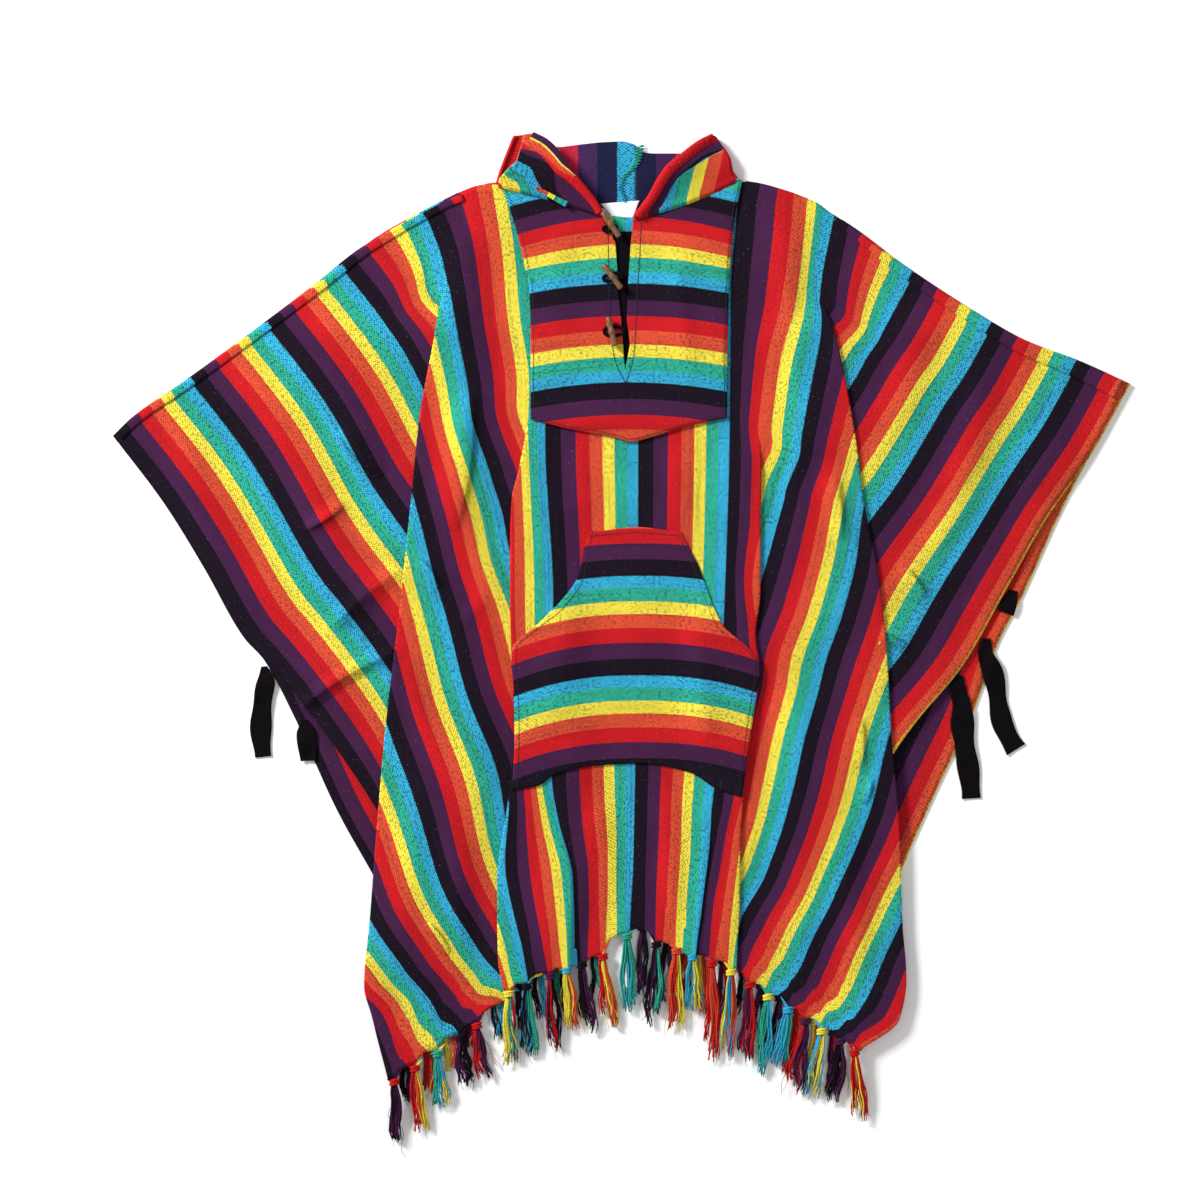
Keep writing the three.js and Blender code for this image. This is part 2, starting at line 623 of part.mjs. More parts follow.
// The ties start at the edge of the front panel, cross the strip of the back panel and lie on the floor.
const ON_BACK = WALL + 0.3 + TAPE / 2;
const ON_FLOOR = 0.3 + TAPE / 2;
const ties = {
  tie_left_long: [
    [-447, -31, ON_BACK, 8], [-446, -48, ON_BACK, 20], [-448, -66, ON_BACK, 23], [-449, -90, ON_FLOOR, 26],
    [-450, -117, ON_FLOOR, 24], [-449, -144, ON_FLOOR, 22],
  ],
  tie_left_short: [[-397, -98, ON_BACK, 9], [-394, -113, ON_BACK, 22], [-393, -132, ON_BACK, 23], [-393, -149, ON_BACK, 22]],
  tie_right_tab: [[489, 64, ON_BACK, 12], [485, 50, ON_BACK, 18], [480, 36, ON_BACK, 21]],
  tie_right_long: [
    [422, -42, ON_BACK, 9], [418, -58, ON_BACK, 20], [423, -80, ON_BACK, 25], [425, -102, ON_BACK, 27],
    [430, -132, ON_BACK, 27], [434, -164, ON_FLOOR, 25], [435, -196, ON_FLOOR, 25],
  ],
  tie_right_slant: [
    [455, 4, ON_BACK, 10], [455, -12, ON_BACK, 20], [462, -36, ON_BACK, 24], [465, -50, ON_BACK, 24],
    [469, -78, ON_FLOOR, 24], [474, -98, ON_FLOOR, 24], [485, -120, ON_FLOOR, 26], [494, -135, ON_FLOOR, 27],
  ],
};

// The seam of the back panel, turned over the shoulder onto the front: a strip that follows the shoulder line.
const BAND = ['x', 'width'];
const BAND_STEP = 21;
const leftBand = table(BAND, [[-632, 11], [-300, 11], [-262, 10], [-200, 10]]);
const rightBand = table(BAND, [[268, 8], [330, 12], [400, 15], [480, 18], [560, 22], [626, 25]]);

function shoulderBand(name, widths) {
  const from = widths[0].x;
  const to = widths[widths.length - 1].x;
  const steps = Math.round((to - from) / BAND_STEP);
  const rows = [0, 1].map((inner) => Array.from({ length: steps + 1 }, (_, i) => {
    const x = mix(from, to, i / steps);
    const slope = (read(shoulder, 'x', 'y', x + 2) - read(shoulder, 'x', 'y', x - 2)) / 4;
    const down = new THREE.Vector2(slope, -1).normalize();
    const reach = inner ? read(widths, 'x', 'width', x) : 1;
    const place = new THREE.Vector2(x, read(shoulder, 'x', 'y', x)).addScaledVector(down, reach);
    return new THREE.Vector3(place.x, place.y, frontTop(place.x, place.y) + GAP + TAPE / 2);
  }));
  return meshOf(name, wallGeometry(rows, TAPE), COLOURS.cloth);
}

// Pocket: wide at the foot, with a curved hand opening on each side, lying over the middle of the front.
const POCKET_LIFT = 1.0 + WALL / 2;
const pocketShape = {
  left: table(PLACE, [
    [-42, 137], [-48, 111], [-54, 79], [-79, 42], [-110, 17], [-137, -8], [-138, -23], [-135, -60], [-134, -117],
    [-137, -183],
  ]),
  right: table(PLACE, [
    [74, 137], [83, 116], [95, 92], [109, 53], [126, 17], [160, -10], [171, -24], [172, -35], [167, -68],
    [160, -115], [150, -195],
  ]),
  top: table(PLACE, [[-140, 137], [-42, 137], [20, 143], [74, 137], [175, 137]]),
  bottom: table(PLACE, [
    [-138, -184], [-106, -180], [-81, -164], [-29, -154], [25, -152], [85, -163], [116, -182], [172, -200],
  ]),
  rows: 14,
  columns: 12,
  lift: POCKET_LIFT,
};

// Hood: each half starts at the seam down the back, lies on the floor as the back wall, turns up at the side and
// comes back over it as the side wall, which ends in the rim. "up" runs from the neck to the top of the hood.
const HOOD = ['up', 'x', 'y'];
const hoodTop = table(PLACE, [
  [-136, 631], [-111, 627], [-82, 618], [-54, 621], [-25, 624], [0, 625], [16, 621], [24, 612], [41, 610],
  [75, 610], [100, 620], [118, 627],
]);
const hoodHalves = {
  hood_left: {
    seam: 17,
    side: table(HOOD, [[0, -144, 568], [35, -148, 594], [70, -143, 615], [90, -138, 627], [100, -136, 631]]),
    rim: table(HOOD, [[0, -27, 539], [35, -54, 574], [70, -82, 608], [88, -97, 624], [100, -111, 634]]),
  },
  hood_right: {
    seam: 17.6,
    side: table(HOOD, [[0, 144, 573], [30, 138, 591], [55, 131, 604], [80, 126, 618], [100, 118, 627]]),
    rim: table(HOOD, [[0, 17, 533], [25, 33, 555], [50, 52, 581], [75, 76, 609], [90, 94, 623], [100, 106, 631]]),
  },
};
const HOOD_RISE = { neck: 9.2, crown: 14, top: 11, rim: 5 };

function hoodGrid({ seam, side, rim }) {
  const grid = [];
  const sign = Math.sign(side[0].x - seam);
  for (let up = 100; up >= 0; up -= 12.5) {
    const t = up / 100;
    const turn = new THREE.Vector2(read(side, 'up', 'x', up), read(side, 'up', 'y', up));
    const edge = new THREE.Vector2(read(rim, 'up', 'x', up), read(rim, 'up', 'y', up));
    const rise = mix(mix(HOOD_RISE.neck, HOOD_RISE.crown, smooth(Math.min(t * 2, 1))), HOOD_RISE.top, ease(0.5, 1, t));
    const row = [];
    for (const share of [0, 0.2, 0.4, 0.6, 0.8]) {
      const x = mix(seam, turn.x - sign * 4, share / 0.98);
      const foot = mix(533, turn.y - 2, Math.abs(x - seam) / Math.abs(turn.x - seam));
      const y = up === 0 ? foot : mix(foot0(side, seam, x), read(hoodTop, 'x', 'y', x), t);
      row.push(new THREE.Vector3(x, y, BACK_MID));
    }
    row.push(new THREE.Vector3(turn.x - sign * 3, turn.y, BACK_MID));
    row.push(new THREE.Vector3(turn.x, turn.y, rise / 2));
    row.push(new THREE.Vector3(turn.x - sign * 3, turn.y, rise));
    for (const share of [0.3, 0.6, 0.85, 1]) {
      const point = mixPoint(turn, edge, share);
      row.push(new THREE.Vector3(point.x, point.y, rise + HOOD_RISE.rim * share * share * Math.sin(Math.PI * (0.15 + 0.7 * t))));
    }
    grid.push(row);
  }
  return grid;
}

// The neck line of the back wall of the hood, between the seam and the side.
function foot0(side, seam, x) {
  return mix(533, side[0].y - 2, Math.abs(x - seam) / Math.abs(side[0].x - seam));
}

const buildHood = (name) => meshOf(name, wallGeometry(hoodGrid(hoodHalves[name]), WALL), COLOURS.hood);

// Label: a plain white rectangle in the neck.
function buildLabel() {
  const z = WALL + GAP + 0.5;
  const grid = [
    [new THREE.Vector3(-27, 547, z), new THREE.Vector3(22, 551, z)],
    [new THREE.Vector3(-12, 531, z), new THREE.Vector3(14, 529, z)],
  ];
  return meshOf('neck_label', wallGeometry(grid, 1), COLOURS.label);
}

// Toggles: a length of bamboo with a raised ring, lying on its loop on the yoke.
const TOGGLE = { half: 18.5, radius: 3.3, ring: 3.8, sides: 8, loop: 1.3 };
const toggles = table(['x', 'y', 'turn', 'loopX', 'loopY', 'loopWide', 'loopHigh'], [
  [-14, 520, 35, -19, 515, 9, 7],
  [-12, 455, 37, -16, 454, 12, 8],
  [-13, 386, 14, -14, 387, 13, 9],
]);

function yokeTop(x, y) {
  return frontTop(x, y) + YOKE_LIFT + WALL / 2;
}

// Top of the flat loop that a toggle lies on.
const loopTop = ({ loopX, loopY }) => yokeTop(loopX, loopY) + GAP + 2 * TOGGLE.loop;

function buildToggle(name, row) {
  const { x, y, turn } = row;
  const { half, radius, ring, sides } = TOGGLE;
  const profile = [
    [0, -half], [radius * 0.8, -half], [radius, -half + 1.5], [radius * 0.9, -2.6], [ring, -1.8], [ring, 1.8],
    [radius * 0.9, 2.6], [radius, half - 1.5], [radius * 0.8, half], [0, half],
  ].map(([r, h]) => new THREE.Vector2(r, h));
  const geometry = new THREE.LatheGeometry(profile, sides);
  geometry.rotateZ(radians(turn));
  geometry.translate(x, y, loopTop(row) + ring - 0.1);
  return meshOf(name, geometry, COLOURS.bamboo, 0.5);
}

function buildLoop(name, row) {
  const { loopX, loopY, loopWide, loopHigh, turn } = row;
  const tube = new THREE.TorusGeometry(1, TOGGLE.loop / loopHigh, 5, 12);
  tube.scale(loopWide, loopHigh, loopHigh);
  tube.rotateZ(radians(turn * 0.3));
  tube.translate(loopX, loopY, loopTop(row) - TOGGLE.loop);
  return meshOf(name, tube, COLOURS.black);
}

// Fringe: each tassel is a knot with a few locks of yarn, hanging straight down from a narrow strip at the hem.
const STRIP = { away: 0.8, width: 2.4, thickness: 1.2 };
const STEM = 1.3;
const KNOT = { width: 9, away: 5.8 };
const LOCK = { root: 1.3, tip: 1.0, sides: 3, stations: 4, rootSpread: 3.4, tipSpread: 7 };
const wobble = (seed) => {
  const value = Math.sin(seed * 12.9898) * 43758.5453;
  return (value - Math.floor(value)) * 2 - 1;
};

function ball(x, y, z, width, height) {
  const geometry = new THREE.SphereGeometry(1, 5, 3);
  geometry.rotateX(Math.PI / 2);
  geometry.scale(width / 2, width / 2, height / 2);
  geometry.translate(x, y, z);
  return toSolid(geometry);
}

// One lock of yarn: it leaves the knot level, then sinks to its tip.
function lock(from, to, bend, root, tip, stations = LOCK.stations) {
  const { sides } = LOCK;
  const positions = [];
  const index = [];
  for (let i = 0; i < stations; i += 1) {
    const t = i / (stations - 1);
    const centre = from.clone().lerp(to, t);
    centre.z = mix(from.z, to.z, t * t);
    centre.x += bend * Math.sin(Math.PI * t);
    const radius = mix(root, tip, t);
    for (let k = 0; k < sides; k += 1) {
      const angle = (2 * Math.PI * k) / sides + Math.PI / 2;
      positions.push(centre.x + radius * Math.cos(angle), centre.y, centre.z + radius * Math.sin(angle));
    }
  }
  for (let i = 0; i < stations - 1; i += 1) {
    for (let k = 0; k < sides; k += 1) {
      const [a, b] = [i * sides + k, i * sides + ((k + 1) % sides)];
      index.push(a, b, b + sides, a, b + sides, a + sides);
    }
  }
  for (let k = 1; k < sides - 1; k += 1) {
    const end = (stations - 1) * sides;
    index.push(0, k + 1, k, end, end + k, end + k + 1);
  }
  const geometry = new THREE.BufferGeometry();
  geometry.setAttribute('position', new THREE.Float32BufferAttribute(positions, 3));
  geometry.setIndex(index);
  return toSolid(geometry);
}

// The hem of a panel between two values of x: its last ring without the points that turn under.
function hemLine(panel, lane, fromX, toX) {
  const height = (x, y) => (laneTop(panel, lane) ? laneHeight(panel, lane, x, y) : panel.base(x, y));
  const ring = ringOf(panel, 100).filter(({ place, z }) => Math.abs(z - height(place.x, place.y)) < 0.01)
    .map(({ place, z }) => new THREE.Vector3(place.x, place.y, z)).sort((a, b) => a.x - b.x);
  const cut = (x) => {
    const next = ring.findIndex((point) => point.x >= x);
    const [a, b] = [ring[next - 1], ring[next]];
    return mixPoint(a, b, (x - a.x) / (b.x - a.x));
  };
  return [cut(fromX), ...ring.filter(({ x }) => x > fromX + 1 && x < toX - 1), cut(toX)];
}

// A value read along a line of points, straight from point to point.
function along(line, axis, x) {
  const next = clamp(line.findIndex((point) => point.x >= x), 1, line.length - 1);
  const [a, b] = [line[next - 1], line[next]];
  return mix(a[axis], b[axis], clamp((x - a.x) / (b.x - a.x)));
}

function hemStrip(line) {
  const rows = [STRIP.away, STRIP.away + STRIP.width].map((out) => line.map((point, i) => {
    const before = line[Math.max(i - 1, 0)];
    const after = line[Math.min(i + 1, line.length - 1)];
    const ahead = new THREE.Vector2(after.x - before.x, after.y - before.y).normalize();
    return new THREE.Vector3(point.x + ahead.y * out, point.y - ahead.x * out, point.z);
  }));
  return wallGeometry(rows, STRIP.thickness);
}

function buildFringe(name, line, tassels, { rest, ceiling, seed }) {
  const parts = [toSolid(hemStrip(line))];
  tassels.forEach(({ x, tipX, length, locks }, n) => {
    const height = Math.min(7, ceiling - rest);
    const z = clamp(along(line, 'z', x), rest + height / 2, ceiling - height / 2);
    const hem = Math.min(...[-4, 0, 4].map((dx) => along(line, 'y', x + dx)));
    const knotY = hem - KNOT.away;
    parts.push(ball(x, knotY, z, KNOT.width, height));
    const stem = new THREE.Vector3(x, along(line, 'y', x) - STRIP.away - STRIP.width / 2, 0);
    stem.z = clamp(along(line, 'z', x), rest + STEM, ceiling - STEM);
    parts.push(lock(stem, new THREE.Vector3(x, knotY, z), 0, STEM, STEM, 2));
    for (let i = 0; i < locks; i += 1) {
      const share = locks > 1 ? (i / (locks - 1)) * 2 - 1 : 0;
      const from = new THREE.Vector3(x + share * LOCK.rootSpread, knotY - 1, z);
      const fan = share * LOCK.tipSpread + wobble(seed + n * 7 + i);
      const drop = length * (1 + 0.08 * wobble(seed + n * 5 + i * 3));
      const to = new THREE.Vector3(tipX + fan, knotY - drop, rest + LOCK.tip);
      parts.push(lock(from, to, wobble(seed + n + i * 11), LOCK.root, LOCK.tip));
    }
  });
  return meshOf(name, fromSolid(wasm.Manifold.union(parts).simplify(0.12)), COLOURS.fringe);
}

const TASSEL = ['x', 'tipX', 'length', 'locks'];
const frontTassels = {
  left: table(TASSEL, [
    [-284, -288, 84, 4], [-258, -250, 78, 4], [-230, -227, 72, 4], [-201, -196, 62, 3], [-181, -170, 68, 4],
  ]),
  middle: table(TASSEL, [
    [-141, -137, 92, 4], [-119, -115, 96, 4], [-89, -82, 98, 4], [-69, -63, 78, 3], [-50, -42, 84, 4],
    [-24, -14, 88, 4], [6, 11, 92, 4], [43, 41, 104, 4], [68, 64, 102, 4], [88, 88, 76, 3], [112, 114, 122, 4],
    [136, 134, 110, 3],
  ]),
  right: table(TASSEL, [
    [159, 156, 104, 4], [182, 174, 100, 4], [207, 194, 74, 4], [229, 214, 90, 4], [249, 234, 84, 4],
    [272, 264, 78, 3], [290, 296, 92, 4],
  ]),
};
const backTassels = {
  left: table(TASSEL, [
    [-270, -268, 60, 3], [-244, -238, 66, 3], [-216, -212, 64, 3], [-190, -188, 56, 3], [-158, -153, 60, 3],
  ]),
  middle: table(TASSEL, [
    [-128, -126, 76, 3], [-104, -102, 78, 3], [-78, -76, 80, 3], [-36, -32, 84, 3], [26, 24, 88, 3], [56, 54, 84, 3],
    [78, 78, 82, 3], [100, 101, 84, 3], [126, 125, 88, 3],
  ]),
  right: table(TASSEL, [
    [152, 149, 60, 3], [174, 170, 80, 3], [197, 190, 76, 3], [220, 212, 80, 3], [242, 240, 72, 3], [264, 264, 72, 3],
  ]),
};
const FRONT_FRINGE = { rest: 3.6, ceiling: 20 };      // the front's fringe lies on the back's
const BACK_FRINGE = { rest: 0.4, ceiling: 5.5 };      // the back's fringe lies under the front panel

const garment = new THREE.Group();
garment.add(backPanelMesh, frontPanelMesh);
garment.add(shoulderBand('shoulder_band_left', leftBand));
garment.add(shoulderBand('shoulder_band_right', rightBand));
garment.add(buildUnderlap());
garment.add(buildYoke());
garment.add(meshOf('pocket', wallGeometry(patchGrid(pocketShape), WALL), COLOURS.cloth));
garment.add(buildHood('hood_left'));
garment.add(buildHood('hood_right'));
garment.add(buildLabel());
for (const [name, path] of Object.entries(ties)) garment.add(buildRibbon(name, table(RIBBON, path)));
toggles.forEach((row, i) => {
  garment.add(buildToggle(`toggle_${i + 1}`, row));
  garment.add(buildLoop(`toggle_loop_${i + 1}`, row));
});
garment.add(buildFringe('fringe_front_left', hemLine(frontPanel, 1, -291, -164), frontTassels.left, { ...FRONT_FRINGE, seed: 3 }));
garment.add(buildFringe('fringe_front_middle', hemLine(frontPanel, 2, -146, 141), frontTassels.middle, { ...FRONT_FRINGE, seed: 40 }));
garment.add(buildFringe('fringe_front_right', hemLine(frontPanel, 3, 151, 296), frontTassels.right, { ...FRONT_FRINGE, seed: 90 }));
garment.add(buildFringe('fringe_back_left', hemLine(backPanel, 1, -276, -144), backTassels.left, { ...BACK_FRINGE, seed: 130 }));
garment.add(buildFringe('fringe_back_middle', hemLine(backPanel, 1, -138, 138), backTassels.middle, { ...BACK_FRINGE, seed: 170 }));
garment.add(buildFringe('fringe_back_right', hemLine(backPanel, 1, 144, 274), backTassels.right, { ...BACK_FRINGE, seed: 210 }));

export default garment;
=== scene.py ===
# %% [markdown]
# A hooded striped poncho, laid flat.
#
# The real garment is two loom widths of heavy cotton, joined along the shoulders, with a chest yoke, a
# pocket and a hood cut from the same cloth, and a knotted fringe at the hem. It lies on its back with
# four large pleats in the front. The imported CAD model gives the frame: every node's size and place.
# This script dresses each node in cloth, yarn, tape or bamboo, and nothing moves from where the frame
# says.

import math

import bpy
import numpy as np
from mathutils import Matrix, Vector
from mathutils.bvhtree import BVHTree


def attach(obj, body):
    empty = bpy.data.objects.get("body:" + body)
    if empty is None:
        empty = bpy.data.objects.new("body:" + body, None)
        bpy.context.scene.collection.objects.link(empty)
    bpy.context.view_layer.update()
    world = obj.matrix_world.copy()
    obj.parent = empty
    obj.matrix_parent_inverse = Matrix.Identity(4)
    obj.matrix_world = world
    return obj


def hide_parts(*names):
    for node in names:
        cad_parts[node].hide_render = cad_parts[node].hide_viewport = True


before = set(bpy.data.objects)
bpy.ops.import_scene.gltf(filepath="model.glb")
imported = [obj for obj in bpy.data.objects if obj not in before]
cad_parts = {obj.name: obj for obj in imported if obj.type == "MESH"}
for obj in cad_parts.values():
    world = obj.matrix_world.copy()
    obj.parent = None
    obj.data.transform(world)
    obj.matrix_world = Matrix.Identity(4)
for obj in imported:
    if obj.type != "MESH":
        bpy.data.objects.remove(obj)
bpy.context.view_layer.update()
scene = bpy.context.scene
MM = 0.001

# %% [markdown]
# The picture was taken from straight above with a long lens, so that near and far parts of the flat
# garment have the same scale. A camera far away with a narrow view does the same. The garment fills
# most of a square frame 1.5 m wide.

# %% Camera
PICTURE_WIDTH = 1.5
PICTURE_MIDDLE = (-0.0275, 0.052)
LENS, SENSOR = 120.0, 36.0
camera_data = bpy.data.cameras.new("studio camera")
camera_data.lens, camera_data.sensor_width = LENS, SENSOR
camera = bpy.data.objects.new("studio camera", camera_data)
camera.location = (*PICTURE_MIDDLE, PICTURE_WIDTH * LENS / SENSOR)
scene.collection.objects.link(camera)
scene.camera = camera
scene.view_settings.view_transform = "Standard"
print("camera height", round(camera.location.z, 3))

# %% [markdown]
# A cut-out on white needs a pale floor and even light. One large soft light from the upper left gives
# the folds their shade, a second one from the right keeps the shade open, and a pale sky fills the
# rest.

# %% Floor and lights
def simple_material(name, colour, roughness=0.9):
    material = bpy.data.materials.new(name)
    material.use_nodes = True
    shader = material.node_tree.nodes["Principled BSDF"]
    shader.inputs["Base Color"].default_value = (*colour, 1)
    shader.inputs["Roughness"].default_value = roughness
    return material


def mesh_object(name, vertices, faces, material=None, edges=()):
    mesh = bpy.data.meshes.new(name)
    mesh.from_pydata(vertices, list(edges), faces)
    piece = bpy.data.objects.new(name, mesh)
    scene.collection.objects.link(piece)
    if material:
        mesh.materials.append(material)
    return piece


FLOOR_HALF, FLOOR_Z = 8.0, -0.0004
corners = [(x * FLOOR_HALF, y * FLOOR_HALF, FLOOR_Z) for x, y in ((-1, -1), (1, -1), (1, 1), (-1, 1))]
floor = mesh_object("floor", corners, [(0, 1, 2, 3)], simple_material("pale floor", (0.97, 0.97, 0.97)))

LIGHTS = (  # name, place, size, power
    ("key", (-4.6, 3.6, 3.1), 1.6, 700.0),
    ("fill", (2.6, -1.2, 3.0), 2.4, 22.0),
)
for light_name, place, size, power in LIGHTS:
    light_data = bpy.data.lights.new(light_name, "AREA")
    light_data.size, light_data.energy = size, power
    light = bpy.data.objects.new(light_name, light_data)
    light.location = place
    light.rotation_euler = Vector(place).to_track_quat("Z", "Y").to_euler()
    scene.collection.objects.link(light)
SKY_STRENGTH = 0.44
world = bpy.data.worlds.new("pale sky")
world.use_nodes = True
world.node_tree.nodes["Background"].inputs["Color"].default_value = (1, 1, 1, 1)
world.node_tree.nodes["Background"].inputs["Strength"].default_value = SKY_STRENGTH
scene.world = world
print("lights", len(LIGHTS))

# %% [markdown]
# Every outline and pleat is a short table of places, read on a smooth curve that never overshoots. The
# numbers are millimetres on the floor plan. "along" is how far down the cloth a row lies, 0 at the
# shoulder and 100 at the hem. "run" counts the repeats of the seven stripes from the left selvage,
# "under" is the count where the cloth comes out again from beneath a pleat, "depth" is the hidden width
# and "lean" its slant.

# %% Tables and curves
def table(columns, rows):
    return {name: np.array([row[i] for row in rows], float) for i, name in enumerate(columns)}


def read(rows, key, column, wanted):
    """The column's value at a value of the key column, on a monotone cubic through the rows."""
    keys, values = rows[key], rows[column]
    if keys[-1] < keys[0]:
        keys, values = keys[::-1], values[::-1]
    step = np.diff(keys)
    slope = np.diff(values) / step
    tangent = np.concatenate([slope[:1], np.zeros(len(slope) - 1), slope[-1:]])
    both = slope[:-1] * slope[1:]
    turn = both > 0
    total = np.where(turn, slope[:-1] + slope[1:], 1)
    tangent[1:-1] = np.where(turn, 2 * both / total, 0)
    wanted = np.clip(np.asarray(wanted, float), keys[0], keys[-1])
    i = np.clip(np.searchsorted(keys, wanted) - 1, 0, len(step) - 1)
    k = (wanted - keys[i]) / step[i]
    start, end, rise = tangent[i] * step[i], tangent[i + 1] * step[i], values[i + 1] - values[i]
    return values[i] + start * k + (3 * rise - 2 * start - end) * k**2 + (start + end - 2 * rise) * k**3


def ease(low, high, value):
    k = np.clip((value - low) / (high - low), 0, 1)
    return k * k * (3 - 2 * k)


def mix(a, b, k):
    return a + (b - a) * k


EDGE = ("along", "x", "y")
FOLD = ("along", "x", "y", "run", "under", "depth", "lean")
GUIDE = ("along", "x", "y", "run", "next", "drop")
PLACE = ("x", "y")
print("a smooth step half way:", float(ease(0, 1, 0.5)))

# %% [markdown]
# The front panel has a left and a right selvage and four pleats. The back panel has one deep pleat on
# each side, which brings its selvages in under the front.

# %% Layout of the two panels
front_left_selvage = table(EDGE, [
    (0, -636, 257), (11, -569, 171), (21, -519, 91), (32, -469, 4), (36, -445, -22), (47, -376, -107),
    (60, -304, -213), (69, -264, -286), (77, -262, -372), (87, -292, -446), (94, -290, -496),
    (100, -286, -536),
])
front_left_pleat = table(FOLD, [
    (0, -237, 542, 4.08, 4.08, 0, -34), (8, -222, 467, 4.0, 4.0, 0, -34),
    (15, -232, 390, 3.78, 3.4, 22, -34), (26, -252, 280, 3.35, 2.6, 45, -34),
    (36, -262, 183, 3.0, 1.93, 64, -34), (49, -277, 40, 2.5, 0.98, 91, -34),
    (62, -294, -104, 2.0, 0.1, 112, -30), (72, -305, -229, 1.5, -0.4, 104, -26),
    (80, -314, -348, 1.0, -0.5, 84, -20), (90, -321, -429, 0.43, -0.2, 60, 0),
    (95, -311, -470, 0.2, 0, 44, 25), (100, -294, -547, 0.08, 0, 34, 45),
])
front_left_inner_pleat = table(FOLD, [
    (0, -155, 571, 4.68, 4.68, 0, -18), (8, -139, 490, 4.71, 4.71, 0, -18),
    (16, -132, 408, 4.71, 4.71, 0, -18), (24, -120, 321, 4.71, 4.71, 0, -18),
    (30, -121, 264, 4.72, 4.53, 8, -18), (34.5, -127, 220, 4.62, 4.38, 14, -18),
    (39, -137, 177, 4.47, 4.14, 20, -18), (45, -139, 120, 4.43, 4.0, 26, -18),
    (51, -139, 54, 4.43, 3.75, 41, -18), (59, -137, -25, 4.4, 3.57, 50, -18),
    (68, -134, -115, 4.2, 3.24, 58, -18), (77, -142, -202, 4.0, 3.0, 60, -18),
    (86, -155, -295, 3.9, 2.5, 62, -18), (96, -155, -398, 3.6, 2.0, 60, 8),
    (100, -150, -435, 3.5, 1.57, 56, 20),
])
front_right_inner_pleat = table(FOLD, [
    (0, 226, 556, 7.57, 7.57, 0, -18), (6, 221, 502, 7.57, 7.57, 0, -18),
    (14, 210, 421, 7.57, 7.57, 0, -18), (21, 192, 352, 7.57, 7.57, 0, -18),
    (29, 181, 271, 7.57, 7.57, 0, -18), (34, 174, 224, 7.45, 7.62, 10, -18),
    (42, 172, 146, 7.46, 7.83, 22, -18), (50, 172, 64, 7.6, 8.05, 30, -18),
    (56, 166, 8, 7.4, 8.2, 44, -18), (61, 171, -33, 7.4, 8.29, 50, -18),
    (69, 162, -104, 7.4, 8.38, 44, -18), (77, 152, -183, 7.45, 8.42, 28, -18),
    (84, 147, -252, 7.6, 8.57, 28, -10), (92, 146, -329, 7.7, 8.95, 28, 0),
    (100, 145, -408, 7.8, 9.29, 28, 25),
])
front_right_pleat = table(FOLD, [
    (0, 265, 533, 8.0, 8.0, 0, -34), (10, 254, 439, 8.05, 8.05, 0, -34),
    (19, 274, 346, 8.28, 9.0, 43, -34), (27, 290, 258, 8.62, 9.62, 60, -34),
    (36, 302, 167, 9.0, 10.2, 72, -34), (45, 320, 77, 9.29, 10.75, 88, -34),
    (55, 330, -19, 9.63, 11.4, 98, -32), (65, 335, -114, 10.0, 11.9, 98, -30),
    (74, 345, -229, 10.39, 12.2, 84, -24), (84, 349, -350, 11.0, 12.2, 60, -10),
    (92, 354, -423, 11.38, 12.0, 44, 15), (96, 345, -473, 11.5, 11.8, 38, 40),
    (100, 300, -510, 11.55, 11.8, 34, 62),
])
front_right_selvage = table(EDGE, [
    (0, 635, 322), (11, 584, 231), (21, 529, 152), (31, 484, 73), (43, 424, -32), (52, 369, -98),
    (58, 340, -138), (65, 302, -205), (74, 296, -290), (84, 318, -368), (92, 331, -430), (96, 326, -468),
    (100, 293, -494),
])
front_middle = [
    table(GUIDE, [
        (0, -96, 567, 5.0, 5.0, 0), (33, -96, 252, 5.0, 5.0, 0), (51, -86, 52, 5.0, 5.0, 0),
        (74, -89, -169, 4.93, 5.0, 0), (79, -80, -222, 4.9, 5.05, 0), (86, -62, -294, 4.86, 5.12, 4),
        (100, -59, -405, 4.83, 5.12, 4),
    ]),
    table(GUIDE, [
        (0, 17, 567, 6, 6, 0), (33, 20, 252, 6, 6, 0), (60, 19, 2, 6, 6, 0), (80, 16, -179, 6, 6, 0),
        (100, 12, -360, 6, 6, 0),
    ]),
    table(GUIDE, [
        (0, 150, 574, 7.0, 7.0, 0), (2.7, 144, 548, 7.0, 7.0, 0), (6.8, 141, 508, 7.0, 7.0, 0),
        (12.7, 136, 450, 7.0, 7.0, 0), (23.5, 135, 345, 7.0, 7.0, 0), (33, 134, 252, 7.0, 7.0, 0),
        (60, 125, -10, 7.0, 7.0, 0), (77, 115, -179, 7.0, 7.0, 0), (80, 113, -211, 7.0, 7.03, 0),
        (86, 108, -270, 6.97, 7.12, 3), (92, 101, -329, 6.95, 7.2, 4), (100, 95, -392, 6.93, 7.22, 4),
    ]),
]
back_left_selvage = table(EDGE, [
    (0, -636, 256), (11, -571, 170), (21, -522, 91), (32, -472, 4), (36, -448, -22), (44, -410, -93),
    (57, -356, -211), (68, -307, -299), (80, -262, -385), (92, -222, -436), (100, -204, -452),
])
back_left_pleat = table(FOLD, [
    (0, -350, 468, 2.95, 2.95, 0, -34), (8, -345, 400, 2.97, 2.97, 0, -34),
    (20, -335, 270, 3.0, 2.4, 36, -34), (40, -322, 60, 3.1, 1.2, 105, -32),
    (60, -308, -150, 3.2, 0.2, 165, -28), (80, -296, -345, 3.3, -0.6, 205, -12),
    (100, -284, -522, 3.4, -1.0, 205, 48),
])
back_middle = [table(GUIDE,
                     [(0, 8, 560, 5.9, 5.9, 0), (50, 8, 100, 5.9, 5.9, 0), (100, 8, -352, 5.9, 5.9, 0)])]
